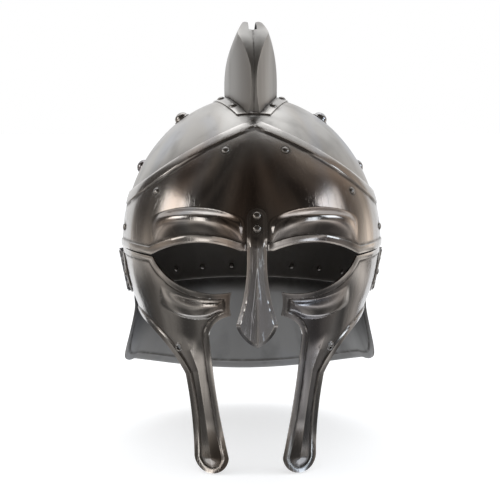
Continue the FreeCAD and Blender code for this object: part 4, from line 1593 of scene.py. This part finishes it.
stitch = stitch_model()
cross_drop = crown_drop + leather + lap_gap
for (piece, stitches), node in (
    (make_liner_band(), "liner_band"),
    (make_strap("strap_lengthwise_leather", crown_drop, True), "liner_strap_lengthwise"),
    (make_strap("strap_crosswise_leather", cross_drop, False), "liner_strap_crosswise"),
):
    finish_piece(piece, "helmet", "liner_leather", node)
    finish_piece(stitches, "helmet", "liner_leather")
for model in (rivet_head, rivet_tail, strap_head, stud, stitch):
    bpy.data.objects.remove(model, do_unlink=True)


# Studio
def seen_directly(tree, strength):
    """Strength where the camera, a mirror or glass shows a surface, and none elsewhere."""
    total = add_node(tree, "LightPath", "Is Camera Ray", {})
    for ray in ("Is Glossy Ray", "Is Transmission Ray"):
        inputs = {0: total, 1: add_node(tree, "LightPath", ray, {})}
        total = add_node(tree, "Math", "Value", inputs, operation="ADD", use_clamp=True)
    return add_node(tree, "Math", "Value", {0: total, 1: strength}, operation="MULTIPLY")


def surface(tree, output, shader):
    feed(tree, tree.nodes[output], {"Surface": shader})


world = bpy.data.worlds.new("studio_air")
bpy.context.scene.world = world
world.use_nodes = True
tree = world.node_tree
air = tree.nodes["Background"]
feed(tree, air, {"Color": (0.95, 0.97, 1.0, 1), "Strength": 0.75})
white = add_node(tree, "Background", "Background", {"Color": (1, 1, 1, 1), "Strength": 1.0})
inputs = {"Fac": seen_directly(tree, 1.0), 1: air.outputs["Background"], 2: white}
surface(tree, "World Output", add_node(tree, "MixShader", "Shader", inputs))

floor_height = cad_box[0][2] - 0.5 * mm
floor = fresh(add_plane, "studio_floor", size=40, location=(0, 0, floor_height))
settle(floor)
pale_floor, tree = new_material("pale_floor")
shader = tree.nodes["Principled BSDF"]
inputs = {"Base Color": (0.7, 0.7, 0.7, 1), "Roughness": 0.9, "Specular IOR Level": 0.1}
feed(tree, shader, inputs)
inputs = {"Color": (1, 1, 1, 1), "Strength": seen_directly(tree, 0.55)}
glow = add_node(tree, "Emission", "Emission", inputs)
inputs = {0: shader.outputs["BSDF"], 1: glow}
surface(tree, "Material Output", add_node(tree, "AddShader", "Shader", inputs))
floor.data.materials.append(pale_floor)


def cloth(name, dark, light, stretch):
    """Folds from dark to light on the cloth's own UV map, glowing as its paleness says."""
    material, tree = new_material(name)
    where = add_node(tree, "TexCoord", "UV", {})
    where = add_node(tree, "Mapping", "Vector", {"Vector": where, "Scale": stretch})
    folds = add_node(tree, "TexNoise", "Fac", {"Vector": where, "Scale": 9, "Detail": 2})
    ramp = tree.nodes.new("ShaderNodeValToRGB")
    for stop, place, colour in zip(ramp.color_ramp.elements, (0.42, 0.7), (dark, light)):
        stop.position, stop.color = place, (*colour, 1)
    feed(tree, ramp, {"Fac": folds})
    pale = add_node(tree, "Attribute", "Fac", {}, attribute_name="pale")
    inputs = {"Color": ramp.outputs["Color"], "Strength": pale}
    surface(tree, "Material Output", add_node(tree, "Emission", "Emission", inputs))
    return material


def studio_card(name, rows, place, paleness, dark, light, stretch):
    """Dark cloth out of the camera's sight, which only the steel mirrors."""
    card = fresh(add_grid, name, x_subdivisions=60, y_subdivisions=rows, size=2)
    pale = card.data.attributes.new("pale", "FLOAT", "POINT").data
    for i, vertex in enumerate(card.data.vertices):
        u, v = (vertex.co.x + 1) / 2, (vertex.co.y + 1) / 2
        pale[i].value = paleness(u, v)
        vertex.co = place(u, v)
    card.data.materials.append(cloth(name + "_cloth", dark, light, stretch))
    card.visible_camera = False
    card.visible_diffuse = False
    card.visible_shadow = False


def seen_from(turn, rise):
    """Direction at a turn from straight ahead towards the left side, and a rise."""
    level = math.cos(rise)
    return Vector((level * math.sin(turn), -level * math.cos(turn), math.sin(rise)))


drape_distance = 2.3
drape_low_rise, drape_high_rise = -6, 97
drape_low_turn, drape_high_turn = 136, 96
mat_near, mat_far = 0.16, 2.35
mat_stand = 2 * mm


def drape_place(u, v):
    """Hung behind the camera in an arc that leans in overhead."""
    rise = mix(math.radians(drape_low_rise), math.radians(drape_high_rise), v)
    reach = mix(drape_low_turn, drape_high_turn, smooth(0.2, 0.6, v))
    return seen_from((u * 2 - 1) * math.radians(reach), rise) * drape_distance


def mat_place(u, v):
    """Laid on the floor before the helmet."""
    turn = (u * 2 - 1) * math.radians(drape_low_turn)
    out = mix(mat_near, mat_far, v)
    return Vector((out * math.sin(turn), -out * math.cos(turn), floor_height + mat_stand))


def drape_paleness(u, v):
    """Paler towards both ends, and along the foot."""
    return (1 + 4.2 * abs(u * 2 - 1) ** 4) * mix(2.6, 1.0, smooth(0.02, 0.16, v))


def mat_paleness(u, v):
    """Paler beside the helmet, and again farther out."""
    return mix(1.3, 1.0, smooth(0.0, 0.05, v)) * mix(1.0, 3.0, smooth(0.09, 0.24, v))


drape_tones = ((0.025, 0.022, 0.02), (0.18, 0.157, 0.135))
mat_tones = ((0.08, 0.076, 0.072), (0.5, 0.47, 0.44))
studio_card("studio_drape", 60, drape_place, drape_paleness, *drape_tones, (1, 0.08, 1))
studio_card("studio_mat", 80, mat_place, mat_paleness, *mat_tones, (1, 0.2, 1))


def aim(thing, target, way, distance):
    """Sets a lamp or camera off its target and turns it to look there."""
    bpy.context.collection.objects.link(thing)
    thing.location = target + way * distance
    thing.rotation_mode = "QUATERNION"
    thing.rotation_quaternion = (-way).to_track_quat("-Z", "Y")


warm, cool, plain = (1.0, 0.97, 0.93), (0.84, 0.92, 1.0), (1, 1, 1)
for name, turn, rise, distance, size, power, colour in (
    ("left_softbox", -82, 17, 1.5, (0.7, 0.5), 3.4, warm),
    ("right_softbox", 80, 18, 1.5, (0.65, 0.5), 3.4, cool),
    ("top_softbox", 180, 66, 1.7, (1.2, 1.0), 3.5, plain),
    ("left_strip", -47, 2, 1.4, (0.3, 0.7), 1.4, warm),
    ("right_strip", 50, 0, 1.4, (0.3, 0.7), 1.4, cool),
):
    lamp = bpy.data.lights.new(name, "AREA")
    lamp.shape = "RECTANGLE"
    lamp.size, lamp.size_y = size
    lamp.energy = power
    lamp.color = colour
    way = seen_from(math.radians(turn), math.radians(rise))
    aim(bpy.data.objects.new(name, lamp), Vector((0, 0, 0)), way, distance)

lens = bpy.data.cameras.new("photo_camera")
lens.sensor_width = 36.0
lens.lens = 91.3
camera = bpy.data.objects.new("photo_camera", lens)
camera_target = Vector((-0.001, 0.0, -0.009))
camera_way = seen_from(math.radians(-2.0), math.radians(6.0))
camera_distance = 1.15
aim(camera, camera_target, camera_way, camera_distance)
bpy.context.scene.camera = camera
bpy.context.scene.view_settings.view_transform = "Standard"
